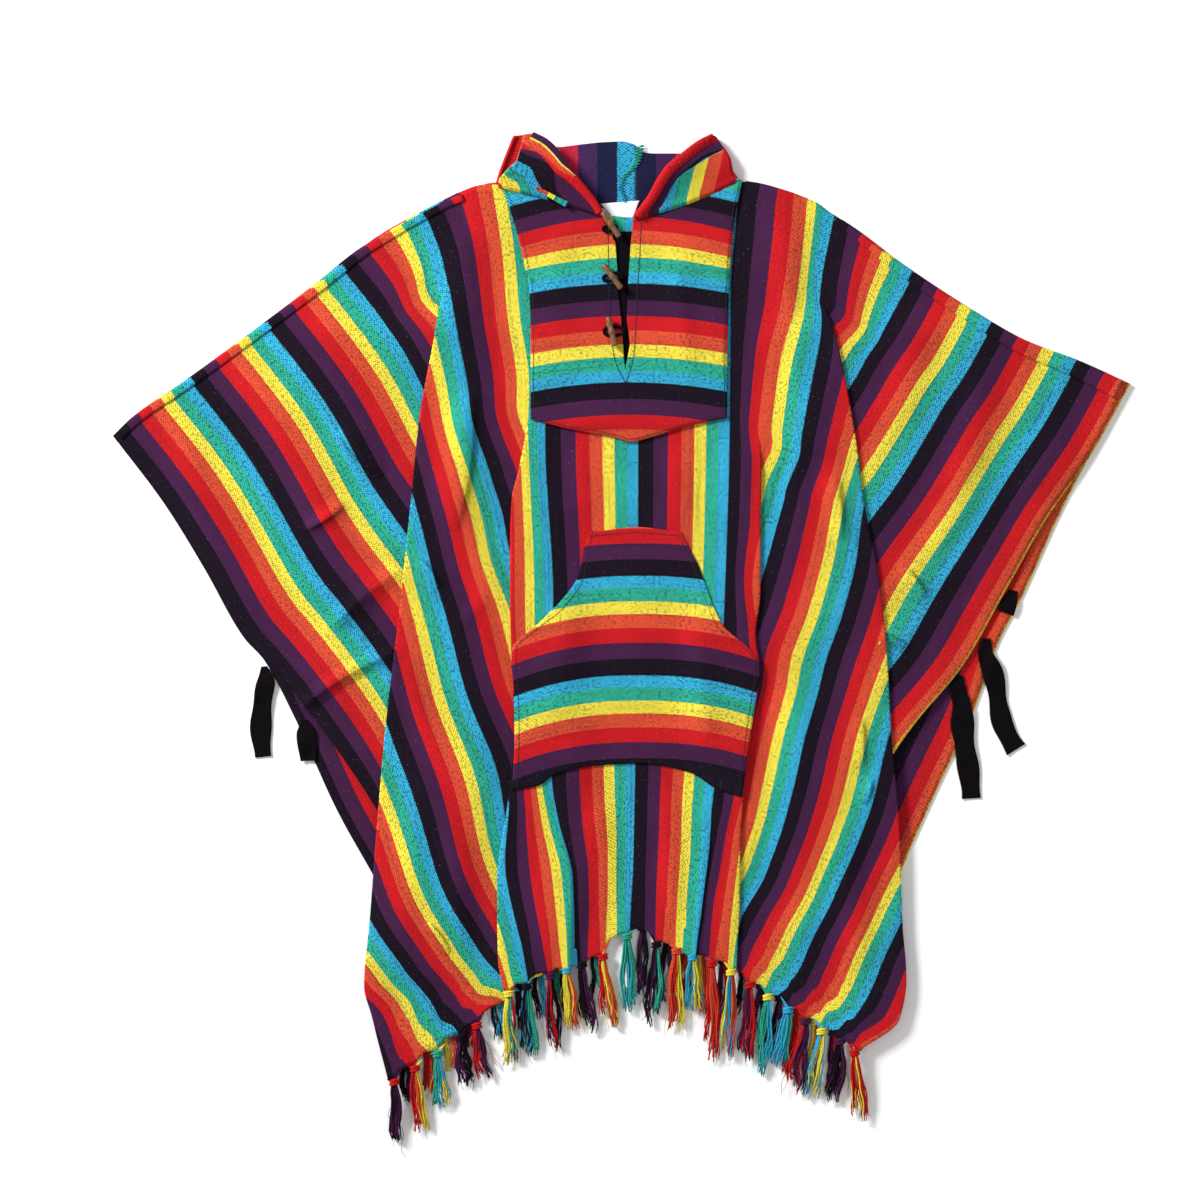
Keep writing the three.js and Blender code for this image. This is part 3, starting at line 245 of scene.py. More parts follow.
back_right_pleat = table(FOLD, [
    (0, 400, 438, 9.15, 9.15, 0, -34), (8, 392, 374, 9.13, 9.13, 0, -34),
    (20, 372, 254, 9.1, 9.7, 36, -34), (40, 346, 55, 8.9, 10.6, 100, -32),
    (60, 326, -150, 8.7, 11.4, 150, -28), (80, 306, -330, 8.5, 12.1, 190, -12),
    (100, 282, -492, 8.3, 12.6, 212, 42),
])
back_right_selvage = table(EDGE, [
    (0, 635, 321), (12, 588, 238), (23, 545, 155), (34, 500, 56), (42, 469, -4), (52, 437, -93),
    (61, 399, -173), (70, 361, -257), (74, 350, -284), (84, 306, -352), (92, 252, -398), (100, 214, -420),
])
shoulder = table(PLACE, [
    (-636, 257), (-611, 281), (-543, 328), (-449, 396), (-376, 451), (-319, 496), (-248, 537),
    (-210, 556), (-158, 571), (0, 574), (150, 574), (222, 557), (269, 531), (344, 476), (426, 422),
    (496, 381), (570, 352), (635, 322),
])
print("rows in the four front pleats:", [len(t["x"]) for t in
      (front_left_pleat, front_left_inner_pleat, front_right_inner_pleat, front_right_pleat)])

# %% [markdown]
# Cloth that lies on cloth must follow it. One function gives the height of the front panel anywhere on
# the plan: it rises over the back panel's pleats and again over its own. A second one adds the soft
# ridges of a garment that was folded and smoothed out by hand. They are placed one by one, uneven in
# length and spacing, and every layer above the back panel gets the same ones, so the layers never
# cross.

# %% Heights
WALL, TAPE, GAP = 1.6, 1.2, 0.4
REPEAT, SELVAGE = 120.0, 11.6
BACK_MID = WALL / 2
FRONT_LOW, FRONT_RAISE = 2.8, 4.0
RAISE_FROM, RAISE_UNTIL = 45, 140
TURN, EASE, PLEAT_START, SLOPE = 1.2, 12.0, 14.0, 55.0
WIDE_ROOM = SLOPE * 9
WING_REPEATS = (118.0, 116.5)

SHORT_CREASES, SHORT_GAIN, WAVE_GAIN = 15, 1.35, 1.5
CREASE = ("x", "y", "to_x", "to_y", "width", "height")
CREASES = table(CREASE, [
    # tucks and short creases that the picture shows
    (-404, -86, -284, -13, 6.5, 5.0), (-362, 18, -276, 91, 9, 3.6), (-346, 171, -398, 138, 9, 3.2),
    (-188, 312, -209, 138, 15, 4.2), (-242, -350, -214, -388, 7, 3.4), (-252, 102, -226, 68, 8, 2.6),
    (322, 9, 360, -8, 8, 4.2), (352, 92, 381, 55, 9, 3.4), (266, 205, 271, 125, 13, 3.6),
    (297, -94, 298, -158, 11, 3.4), (312, -170, 303, -202, 9, 3.0), (-300, 205, -352, 262, 12, 2.4),
    (-168, 60, -205, 22, 9, 2.2), (236, 300, 243, 232, 14, 2.6), (205, -60, 232, -112, 10, 2.6),
    # long soft waves
    (-566, 262, -436, 30, 24, 3.0), (-486, 352, -352, 116, 30, 3.6), (-402, 404, -306, 232, 24, 2.6),
    (476, 352, 372, 112, 28, 3.4), (566, 286, 446, 42, 24, 2.8), (392, 420, 330, 268, 24, 2.8),
    (-196, 524, -202, 372, 20, 2.6), (196, 520, 214, 356, 20, 2.8), (-262, -146, -282, -432, 22, 3.4),
    (-204, -186, -216, -424, 18, 3.0), (212, -128, 226, -402, 20, 3.0), (286, -236, 300, -418, 18, 2.8),
    (-40, -204, -46, -352, 16, 2.6), (56, -196, 66, -356, 15, 2.6), (-60, 232, -56, 152, 16, 2.2),
    (70, 236, 74, 160, 15, 2.0), (-76, 508, -82, 384, 18, 1.8), (78, 500, 82, 330, 18, 2.0),
    (-70, 60, -84, -120, 20, 1.8), (92, 34, 104, -130, 18, 2.0), (14, 110, 20, -60, 22, 1.4),
])


def ridges(x, y):
    """Height of the soft ridges, never below zero."""
    total = np.zeros_like(np.asarray(x, float))
    for n in range(len(CREASES["x"])):
        x0, y0, x1, y1, width, height = (CREASES[c][n] for c in CREASE)
        length = math.hypot(x1 - x0, y1 - y0)
        ux, uy = (x1 - x0) / length, (y1 - y0) / length
        t = ((x - x0) * ux + (y - y0) * uy) / length
        bow = 0.06 * length * np.sin(math.pi * np.clip(t, 0, 1) + n) * math.sin(2.1 * n + 1)
        across = (x - x0) * -uy + (y - y0) * ux - bow
        spread = width * (1 + 0.5 * np.clip(t, 0, 1) * (1 if n % 2 else -0.6))
        fade = np.exp(-(np.clip(np.abs(t - 0.5) - 0.28, 0, None) / 0.2) ** 2)
        gain = SHORT_GAIN if n < SHORT_CREASES else WAVE_GAIN
        total += gain * height * fade * np.exp(-(across / spread) ** 2)
    total += 0.5 + 0.5 * np.sin(x / 47 + 1.3 * np.sin(y / 83)) * np.sin(y / 61 + 0.8 * np.sin(x / 71))
    return total


def front_base(x, y):
    """Height of the front panel's lowest layer, which rises over the two pleats of the back panel."""
    outside = np.maximum(read(back_left_pleat, "y", "x", y) - x, x - read(back_right_pleat, "y", "x", y))
    folded = ease(0, PLEAT_START, read(back_left_pleat, "y", "depth", np.asarray(y) - RAISE_FROM))
    return FRONT_LOW + FRONT_RAISE * folded * (1 - ease(RAISE_FROM, RAISE_UNTIL, outside)) + ridges(x, y)


def back_base(x, y):
    """The back panel lies flat."""
    return BACK_MID + 0 * np.asarray(x, float)


front_panel_plan = dict(
    left=front_left_selvage, right=front_right_selvage, pitch=2.4, base=front_base,
    folds=[(front_left_pleat, 1), (front_left_inner_pleat, 1), (front_right_inner_pleat, -1),
           (front_right_pleat, -1)],
    guides=[[], [], front_middle, [], []], counts=[42, 24, 14, 24, 38], wing_clear=85.0,
    wing_until=(12, 26), selvage_run=0.0,
)
back_panel_plan = dict(
    left=back_left_selvage, right=back_right_selvage, pitch=2.0, base=back_base,
    folds=[(back_left_pleat, 1), (back_right_pleat, -1)], guides=[[], back_middle, []],
    counts=[26, 26, 26], wing_clear=30.0, wing_until=(101, 102), selvage_run=0.07,
)


def pleat_lift(rows, side, x, y, room):
    """How much of a pleat's two extra layers lies under a place, from 0 to 1."""
    depth = read(rows, "y", "depth", y)
    inward = (x - read(rows, "y", "x", y)) * side
    start = depth + 5
    end = np.maximum(start + 15, np.minimum(start + SLOPE, room))
    return ease(0, PLEAT_START, depth) * (1 - ease(start, end, inward))


def lane_height(plan, lane, x, y):
    """Mid height of one lane of a panel, with the lift of the pleats that it lies on."""
    folds = plan["folds"]
    before = folds[lane - 1] if lane > 0 else None
    after = folds[lane] if lane < len(folds) else None
    room = WIDE_ROOM
    if before and after:
        room = read(after[0], "y", "x", y) - read(before[0], "y", "x", y)
    lift = np.zeros_like(np.asarray(x, float))
    if before and before[1] > 0:
        lift = np.maximum(lift, pleat_lift(before[0], 1, x, y, room))
    if after and after[1] < 0:
        lift = np.maximum(lift, pleat_lift(after[0], -1, x, y, room))
    return plan["base"](x, y) + 2 * plan["pitch"] * lift


print("front over the middle:",
      round(float(lane_height(front_panel_plan, 2, np.array(0.0), np.array(0.0))), 2), "mm")

# %% [markdown]
# A pleat is a flat strip of cloth turned back under its neighbour, with a round turn at each of its two
# edges. The panel is made ring by ring across the cloth. In each ring the points run from selvage to
# selvage through every turn, and carry the stripe count with them, so the stripes follow the cloth into
# the pleats.

# %% Turns of a pleat
HALF_TURN = np.linspace(0, math.pi, 7)
HIDDEN_STEPS, TURN_SHARE = 3, 0.02
SHOULDER_EASE, SLOPE_STEP = 40, 6


def place_at(rows, at, key="along"):
    return np.array([read(rows, key, "x", at), read(rows, key, "y", at)])


def shoulder_slope(x):
    ahead, behind = (read(shoulder, "x", "y", x + step) for step in (SLOPE_STEP, -SLOPE_STEP))
    return (ahead - behind) / (2 * SLOPE_STEP)


def beside(fold, offset):
    """A place beside a pleat's edge, on the line of the shoulder near the top."""
    rise = shoulder_slope(fold["edge"][0]) * (1 - ease(0, SHOULDER_EASE, fold["along"]))
    return fold["edge"] + np.array([offset, offset * rise])


def fold_at(rows, side, along):
    value = {c: float(read(rows, "along", c, along)) for c in ("run", "under", "depth", "lean")}
    edge = place_at(rows, along)
    lean = math.radians(value["lean"])
    hidden = edge + value["depth"] * np.array([side * math.cos(lean), math.sin(lean)])
    return dict(value, along=along, side=side, edge=edge, hidden=hidden,
                turn=(value["run"] + value["under"]) / 2,
                folded=float(ease(0, PLEAT_START, value["depth"])))


def turn_points(plan, fold):
    """Two half circles and the hidden layer between them, in the order of the ring."""
    side, pitch, folded = fold["side"], plan["pitch"], fold["folded"]
    first, second = (fold["hidden"], fold["edge"]) if side > 0 else (fold["edge"], fold["hidden"])
    runs = (fold["turn"], fold["run"]) if side > 0 else (fold["run"], fold["turn"])
    levels = (0.0, 1.0, 2.0) if side > 0 else (2.0, 1.0, 0.0)
    bulge, places, heights, shares = np.array([TURN, 0]), [], [], []
    for angle in HALF_TURN[1:]:
        places.append(first - bulge + bulge * math.sin(angle))
        heights.append(mix(levels[0], levels[1], (1 - math.cos(angle)) / 2))
        shares.append(TURN_SHARE * angle / math.pi)
    for k in np.linspace(0, 1, HIDDEN_STEPS + 2)[1:-1]:
        places.append(mix(first - bulge, second + bulge, k))
        heights.append(levels[1])
        shares.append(TURN_SHARE + (1 - 2 * TURN_SHARE) * k)
    for angle in HALF_TURN[:-1]:
        places.append(second + bulge - bulge * math.sin(angle))
        heights.append(mix(levels[1], levels[2], (1 - math.cos(angle)) / 2))
        shares.append(1 - TURN_SHARE + TURN_SHARE * angle / math.pi)
    offsets = EASE * np.linspace(-2 / 3, 2 / 3, len(places))
    flat = np.array([beside(fold, offset) for offset in offsets])
    spots = mix(flat, np.array(places), folded)
    shares = np.array(shares)
    run = mix(fold["run"] + offsets / REPEAT, mix(runs[0], runs[1], shares), folded)
    z = plan["base"](spots[:, 0], spots[:, 1]) + np.array(heights) * pitch * folded
    return list(zip(spots[:, 0], spots[:, 1], z, run))


print("points in a turn:", len(HALF_TURN), "in the hidden layer:", HIDDEN_STEPS)

# %% [markdown]
# Between two pleats lies a lane of flat cloth. Its points run from stop to stop: a selvage, a pleat's
# edge or a guide line, which says where a stripe lies. Near the shoulder, where the cloth is not
# pleated yet, the stripes keep an even distance from the selvage, as they do on the loom.

# %% Lanes between the pleats
CLOSE_STEPS, DROP_FROM, LEAST_STEP, STEP_FOR_DROP = 4, 0.7, 1.5, 0.6


def away_from(line, x, y, key="along", steps=240):
    """Distance of places from a line of rows, in the plan."""
    t = np.linspace(0, 100, steps)
    line_x, line_y = read(line, key, "x", t), read(line, key, "y", t)
    x, y = np.asarray(x, float), np.asarray(y, float)
    return np.sqrt(((x[..., None] - line_x) ** 2 + (y[..., None] - line_y) ** 2).min(axis=-1))


def wing_run(plan, lane, x, y):
    """The stripe count of flat cloth: so many repeats in from the nearest selvage."""
    if lane == 0:
        return away_from(plan["left"], x, y) / WING_REPEATS[0] + plan["selvage_run"]
    return SELVAGE - away_from(plan["right"], x, y) / WING_REPEATS[1]


def pleat_stop(fold, toward, is_top):
    """Where a lane begins or ends at a pleat, with the stripe count there."""
    flat = beside(fold, EASE * toward)
    folded = (fold["edge"] if is_top else fold["hidden"]) + np.array([TURN * toward, 0])
    run = mix(fold["run"] + toward * EASE / REPEAT, fold["run"] if is_top else fold["turn"],
              fold["folded"])
    return dict(place=mix(flat, folded, fold["folded"]), run=run)


def comes_out(fold, is_top):
    """Whether the lane comes out from beneath a deep pleat at this edge."""
    return not is_top and fold["depth"] > PLEAT_START and 0 < fold["under"] < SELVAGE


def lane_stops(plan, lane, along, before, after):
    """The stops of one lane from left to right, and the pleat that it comes out from."""
    stops, crossing = [], None
    if before:
        is_top = before["side"] > 0
        stops.append(pleat_stop(before, 1, is_top))
        if comes_out(before, is_top):
            crossing = before
    else:
        stops.append(dict(place=place_at(plan["left"], along), run=0.0))
    for guide in plan["guides"][lane]:
        drop = float(read(guide, "along", "drop", along))
        step = np.array([max(LEAST_STEP, drop * STEP_FOR_DROP), 0])
        place = place_at(guide, along)
        run, following = (float(read(guide, "along", column, along)) for column in ("run", "next"))
        spread = max(0.0, step[0] - (following - run) * REPEAT / 2) / REPEAT
        stops.append(dict(place=place - step, run=run - spread, drop=drop))
        stops.append(dict(place=place + step, run=following + spread, close=True))
    if after:
        is_top = after["side"] < 0
        if comes_out(after, is_top):
            crossing = after
        stops.append(pleat_stop(after, -1, is_top))
    else:
        stops.append(dict(place=place_at(plan["right"], along), run=SELVAGE))
    return stops, crossing


def lane_points(plan, lane, along, folds):
    """One lane of a ring: places on the plan, height and stripe count."""
    before = folds[lane - 1] if lane > 0 else None
    after = folds[lane] if lane < len(folds) else None
    stops, crossing = lane_stops(plan, lane, along, before, after)
    x, y, run, drop = [], [], [], []
    for n, (start, end) in enumerate(zip(stops[:-1], stops[1:])):
        steps = CLOSE_STEPS if end.get("close") else plan["counts"][lane]
        k = np.linspace(0, 1, steps + 1)[0 if n == 0 else 1:]
        x.append(mix(start["place"][0], end["place"][0], k))
        y.append(mix(start["place"][1], end["place"][1], k))
        run.append(mix(start["run"], end["run"], k))
        rise = np.zeros_like(k)
        if end.get("drop"):
            rise += end["drop"] * np.clip((k - DROP_FROM) / (1 - DROP_FROM), 0, 1) ** 2
        if end.get("close"):
            rise += start["drop"] * (1 - k)
        drop.append(rise)
    x, y, run, drop = (np.concatenate(part) for part in (x, y, run, drop))
    share = (x - x[0]) / (x[-1] - x[0])
    if len(stops) > 2:
        profile = dict(x=np.array([s["place"][0] for s in stops]),
                       y=np.array([s["place"][1] for s in stops]))
        y = read(profile, "x", "y", x)
    elif crossing:
        at = float(np.clip((crossing["edge"][0] - x[0]) / (x[-1] - x[0]), 0.02, 0.98))
        low = mix(stops[0]["run"], crossing["under"], share / at)
        high = mix(crossing["under"], stops[1]["run"], (share - at) / (1 - at))
        run = np.where(share < at, low, high)
    left = plan["left"] if lane == 0 else plan["folds"][lane - 1][0]
    right = plan["right"] if lane == len(folds) else plan["folds"][lane][0]
    tops = np.array([place_at(rows, 0) for rows in [left, *plan["guides"][lane], right]])
    top_x = mix(tops[0, 0], tops[-1, 0], share)
    if len(tops) > 2:
        line = read(dict(x=tops[:, 0], y=tops[:, 1]), "x", "y", top_x)
    else:
        line = mix(tops[0, 1], tops[1, 1], share)
    y = y + (read(shoulder, "x", "y", top_x) - line) * (1 - ease(0, SHOULDER_EASE, along))
    if lane in (0, len(folds)):
        inner_x, inner_y = (x[-1], y[-1]) if lane == 0 else (x[0], y[0])
        clear = ease(0, plan["wing_clear"], np.hypot(x - inner_x, y - inner_y))
        start, end = plan["wing_until"]
        run = mix(run, wing_run(plan, lane, x, y), clear * (1 - ease(start, end, along)))
    on_top = (before and before["side"] > 0) or (after and after["side"] < 0)
    z = lane_height(plan, lane, x, y) if on_top else plan["base"](x, y)
    return np.stack([x, y, z + drop, run], axis=1)


print("lanes of the front:", len(front_panel_plan["counts"]), "of the back:",
      len(back_panel_plan["counts"]))

# %% [markdown]
# The top edge is cut out for the head: a half ellipse in the back, and in the front the line of the
# collar as it was measured from the picture. At the hem each knot of the fringe draws the cloth down
# and together a little.

# %% Neck, hem and the two grids
NECK_X, NECK_Y, NECK_HALF, NECK_DIP, NECK_EASE = -2.0, 576.0, 150.0, 45.0, 14
NO_CUT = 1e4
front_neck = table(PLACE, [
    (-153, 574), (-127, 568), (-105, 562.5), (-69, 547), (-46, 540), (-26, 535), (-6, 531), (15, 529.5),
    (36, 533), (57, 539), (70, 546.5), (93, 556.5), (105, 565), (123, 574), (150, 575),
])


def back_neck_line(x):
    inside = np.clip(1 - ((x - NECK_X) / NECK_HALF) ** 2, 0, 1)
    return np.where(inside > 0, NECK_Y - NECK_DIP * np.sqrt(inside), NO_CUT)


def front_neck_line(x):
    ends = front_neck["x"]
    return np.where((x > ends[0]) & (x < ends[-1]), read(front_neck, "x", "y", x), NO_CUT)


def panel_grid(plan, alongs, neck_line):
    """Rings of (x, y, z, run), with the top edge sunk to the neck line."""
    grid = []
    for along in alongs:
        folds = [fold_at(rows, side, along) for rows, side in plan["folds"]]
        ring = []
        for lane in range(len(folds) + 1):
            ring.append(lane_points(plan, lane, along, folds))
            if lane < len(folds):
                ring.append(np.array(turn_points(plan, folds[lane])))
        ring = np.concatenate(ring)
        top = read(shoulder, "x", "y", ring[:, 0])
        sink = np.maximum(top - neck_line(ring[:, 0]), 0)
        ring[:, 1] -= sink * (1 - ease(0, NECK_EASE, along))
        grid.append(ring)
    return np.array(grid)


GATHER_FROM, HEM_DIP, HEM_DIP_WIDTH, HEM_RISE, HEM_PULL, HEM_PULL_WIDTH = 91, 6.5, 8, 2.5, 0.5, 12
HEM_KNOTS = np.array([-284, -258, -230, -201, -181, -141, -119, -89, -69, -50, -24, 6, 43, 68, 88, 112,
                      136, 159, 182, 207, 229, 249, 272, 290.0])


def gather_hem(grid, alongs):
    """Draws the cloth down and together at each knot of the fringe."""
    strength = ease(GATHER_FROM, 100, alongs)[:, None]
    nearest = HEM_KNOTS[np.abs(grid[..., 0, None] - HEM_KNOTS).argmin(axis=-1)]
    aside = grid[..., 0] - nearest
    grid[..., 1] -= strength * (HEM_DIP * np.exp(-(aside / HEM_DIP_WIDTH) ** 2) - HEM_RISE)
    grid[..., 0] -= strength * HEM_PULL * aside * np.exp(-(aside / HEM_PULL_WIDTH) ** 2)
    return grid


FRONT_ROWS, HEM_ROWS, BACK_ROWS = 136, 22, 90
FRONT_ALONGS = np.unique(np.concatenate([np.linspace(0, 100, FRONT_ROWS),
                                         np.linspace(GATHER_FROM, 100, HEM_ROWS)]))
front_grid = gather_hem(panel_grid(front_panel_plan, FRONT_ALONGS, front_neck_line), FRONT_ALONGS)
back_grid = panel_grid(back_panel_plan, np.linspace(0, 100, BACK_ROWS), back_neck_line)
print("front grid", front_grid.shape[:2], "back grid", back_grid.shape[:2])

# %% [markdown]
# A sheet of cloth has two sides and an edge. Each grid of mid points becomes a thin closed shell: the
# points are moved half a wall out along their normals to one side and half a wall to the other, and the
# two sides are joined round the rim. The stripe count and the length along the cloth go into a UV map.

# %% Shells of cloth
FLAT_BELOW = 0.3  # a back side lower than this share of the wall lies flat on the floor


def grid_normals(points):
    down = np.gradient(points, axis=0)
    ahead = np.diff(points, axis=1)
    ahead /= np.maximum(np.linalg.norm(ahead, axis=2, keepdims=True), 1e-9)
    mean = np.zeros_like(points)
    mean[:, :-1] += ahead
    mean[:, 1:] += ahead
    normal = np.cross(down, mean)
    return normal / np.maximum(np.linalg.norm(normal, axis=2, keepdims=True), 1e-9)


def cloth_shell(name, points, run, length, wall, material, flat_under=False):
    """A closed shell about a grid of mid points in millimetres, with (run, length) as its UV map."""
    rows, columns = points.shape[:2]
    normal = grid_normals(points)
    sides = []
    for sign in (1, -1):
        side = points + normal * sign * wall / 2
        if flat_under:
            side[..., 2] = np.where(side[..., 2] < wall * FLAT_BELOW, 0, side[..., 2])
        sides.append(side.reshape(-1, 3))
    vertices = np.concatenate(sides) * MM
    index = np.arange(rows * columns).reshape(rows, columns)
    under = index + rows * columns
    quads = [
        np.stack([index[:-1, :-1], index[1:, :-1], index[1:, 1:], index[:-1, 1:]], -1).reshape(-1, 4),
        np.stack([under[:-1, :-1], under[:-1, 1:], under[1:, 1:], under[1:, :-1]], -1).reshape(-1, 4),
        np.stack([index[:-1, 0], under[:-1, 0], under[1:, 0], index[1:, 0]], -1),
        np.stack([index[:-1, -1], index[1:, -1], under[1:, -1], under[:-1, -1]], -1),
        np.stack([index[0, :-1], index[0, 1:], under[0, 1:], under[0, :-1]], -1),
        np.stack([index[-1, :-1], under[-1, :-1], under[-1, 1:], index[-1, 1:]], -1),
    ]
    piece = mesh_object(name, vertices.tolist(), np.concatenate(quads).tolist(), material)
    set_uv(piece, np.tile(np.stack([run.ravel(), length.ravel() * MM], -1), (2, 1)))
    piece.data.shade_smooth()
    return piece


def set_uv(piece, per_vertex):
    layer = piece.data.uv_layers.new(name="cloth")
    corner = np.empty(len(piece.data.loops), int)
    piece.data.loops.foreach_get("vertex_index", corner)
    layer.data.foreach_set("uv", per_vertex[corner].astype(np.float32).ravel())


print("wall", WALL, "mm")

# %% [markdown]
# The cloth is woven from thick soft yarn: seven stripes of black, purple, red, orange, yellow, green
# and blue. Close up, the bright stripes are slubby, with short dark flecks where the weft shows between
# the warp yarns. Both effects are used by more than one finish, so each is a node group: one for the
# colours of the stripes and one for the grain of the weave.

# %% Stripe colours
def new_group(name, inputs, outputs):
    group = bpy.data.node_groups.new(name, "ShaderNodeTree")
    for direction, sockets in (("INPUT", inputs), ("OUTPUT", outputs)):
        for label, kind, *default in sockets:
            socket = group.interface.new_socket(label, in_out=direction, socket_type="NodeSocket" + kind)
            if default:
                socket.default_value = default[0]
    return group, group.nodes.new("NodeGroupInput"), group.nodes.new("NodeGroupOutput")


def add(tree, kind, inputs=None, **settings):
    """A node with its settings, and its inputs filled from values or linked from sockets."""
    node = tree.nodes.new("ShaderNode" + kind)
    for key, value in settings.items():
        setattr(node, key, value)
    for key, value in (inputs or {}).items():
        if isinstance(value, bpy.types.NodeSocket):
            tree.links.new(value, node.inputs[key])
        else:
            node.inputs[key].default_value = value
    return node


def math_node(tree, operation, a, b=0.0, c=0.0):
    return add(tree, "Math", {0: a, 1: b, 2: c}, operation=operation).outputs[0]


def math_in(tree):
    """A short way to write arithmetic in one tree."""
    return lambda operation, a, b=0.0, c=0.0: math_node(tree, operation, a, b, c)


def blend(tree, amount, a, b, blend_type="MIX"):
    """A mix of two colours."""
    return add(tree, "Mix", {0: amount, 6: a, 7: b}, data_type="RGBA", blend_type=blend_type).outputs[2]


def ramp(tree, factor, stops, interpolation="CONSTANT"):
    node = add(tree, "ValToRGB", {"Fac": factor})
    node.color_ramp.interpolation = interpolation
    while len(node.color_ramp.elements) < len(stops):
        node.color_ramp.elements.new(1.0)
    for element, (position, colour) in zip(node.color_ramp.elements, stops):
        element.position = position
        element.color = (*colour, 1) if hasattr(colour, "__len__") else (colour, colour, colour, 1)
    return node.outputs["Color"]


def linear(red, green, blue):
    """A colour as it reads on a screen, in the amounts of light that a shader takes."""
    return tuple(((c / 255) / 12.92 if c <= 10 else ((c / 255 + 0.055) / 1.055) ** 2.4)
                 for c in (red, green, blue))


STRIPES = (  # start in the repeat, colour, how slubby, how many light nubs
    (0.000, (20, 8, 21), 0.45, 0.3), (0.165, (66, 26, 64), 0.55, 0.3), (0.325, (194, 22, 26), 0.60, 0.3),
    (0.475, (210, 75, 45), 0.80, 0.3), (0.615, (233, 215, 68), 0.80, 0.1),
    (0.745, (44, 166, 139), 1.0, 0.3), (0.880, (50, 165, 202), 1.0, 0.3),
)
PICK_PITCH, SAW_EDGE, SAW_REACH = 0.0031, 0.0042, 0.06
EDGE_ACROSS, EDGE_ALONG, RAGGED = 30.0, 160.0, 3.0
SELVAGE_THREAD, THREAD_COLOUR, FIRST_RUN = 0.022, linear(236, 190, 60), 0.012
BLACK, PURPLE, RED, ORANGE, YELLOW, GREEN, BLUE = [start + 0.05 for start, *_ in STRIPES]

stripe_group, g_in, g_out = new_group(
    "stripe colours", [("Run", "Float"), ("Length", "Float"), ("Wander", "Float", 0.006)],
    [("Color", "Color"), ("Slub", "Float"), ("Nubs", "Float")],
)
stripe_math = math_in(stripe_group)
edge_place = add(stripe_group, "CombineXYZ", {
    0: stripe_math("MULTIPLY", g_in.outputs["Run"], EDGE_ACROSS),
    1: stripe_math("MULTIPLY", g_in.outputs["Length"], EDGE_ALONG),
})
edge_noise = add(stripe_group, "TexNoise", {"Vector": edge_place.outputs[0], "Scale": 1.0, "Detail": 2.0})
wander = stripe_math("MULTIPLY", stripe_math("SUBTRACT", edge_noise.outputs["Fac"], 0.5),
                     g_in.outputs["Wander"])
picks = stripe_math("SINE", stripe_math("MULTIPLY", g_in.outputs["Length"], 2 * math.pi / PICK_PITCH))
raw_place = stripe_math("FRACT", stripe_math("ADD", g_in.outputs["Run"], 0.5))
near_black = stripe_math("LESS_THAN", stripe_math("ABSOLUTE", stripe_math("SUBTRACT", raw_place, 0.5)),
                         SAW_REACH)
saw = stripe_math("MULTIPLY", picks, stripe_math("MULTIPLY", near_black, SAW_EDGE))
moved = stripe_math("ADD", stripe_math("ADD", g_in.outputs["Run"], wander), saw)
repeat_place = stripe_math("FRACT", stripe_math("MAXIMUM", moved, FIRST_RUN))
for label, column in (("Color", 1), ("Slub", 2), ("Nubs", 3)):
    stops = [(row[0], linear(*row[1]) if column == 1 else row[column]) for row in STRIPES]
    value = ramp(stripe_group, repeat_place, stops)
    if label == "Color":
        ragged = stripe_math("ADD", g_in.outputs["Run"], stripe_math("MULTIPLY", wander, RAGGED))
        edge = stripe_math("GREATER_THAN", ragged, SELVAGE - SELVAGE_THREAD)
        value = blend(stripe_group, edge, value, (*THREAD_COLOUR, 1))
    stripe_group.links.new(value, g_out.inputs[label])
print("stripes", len(STRIPES))

# %% [markdown]
# The grain group works in metres on the cloth: across the yarns and along them. It gives the dark
# flecks, a slow change of shade, small light nubs and the height of the ribs, and the materials decide
# how much of each to use. The flecks lie in loose rows, as the floats of a weave do: a wavy lattice of
# the yarns makes the rows, and noise lets most of them drop out.

# %% Grain of the weave
grain_group, g_in, g_out = new_group(
    "weave grain", [("Across", "Float"), ("Along", "Float"), ("Yarn", "Float", 0.0012),
                    ("Pick", "Float", 0.0021)],
    [("Fleck", "Float"), ("Shade", "Float"), ("Nub", "Float"), ("Height", "Float"), ("Lattice", "Float")],
)
grain_math = math_in(grain_group)
FLOAT_ACROSS, FLOAT_ALONG, FLOAT_WANDER = 2.9, 1.75, 3.0
UNEVEN, LATTICE_SHARE, FLECK_FROM, FLECK_TO = 4.4, 0.5, 0.10, 0.42
across_count = grain_math("DIVIDE", g_in.outputs["Across"], g_in.outputs["Yarn"])
along_count = grain_math("DIVIDE", g_in.outputs["Along"], g_in.outputs["Pick"])


def grain_noise(across_scale, along_scale, detail, shift=0.0):
    place = add(grain_group, "CombineXYZ", {
        0: grain_math("MULTIPLY", across_count, across_scale),
        1: grain_math("MULTIPLY", along_count, along_scale), 2: shift,
    })
    return add(grain_group, "TexNoise",
               {"Vector": place.outputs[0], "Scale": 1.0, "Detail": detail}).outputs["Fac"]


def window(value, low, high):
    node = add(grain_group, "MapRange", {"Value": value, "From Min": low, "From Max": high},
               interpolation_type="SMOOTHSTEP")
    return node.outputs["Result"]


def float_row(count, pitch, wander):
    """A wave over the yarns that wanders sideways, as a row of floats does."""
    turned = grain_math("MULTIPLY_ADD", count, 2 * math.pi / pitch,
                        grain_math("MULTIPLY", wander, FLOAT_WANDER))
    return grain_math("SINE", turned)


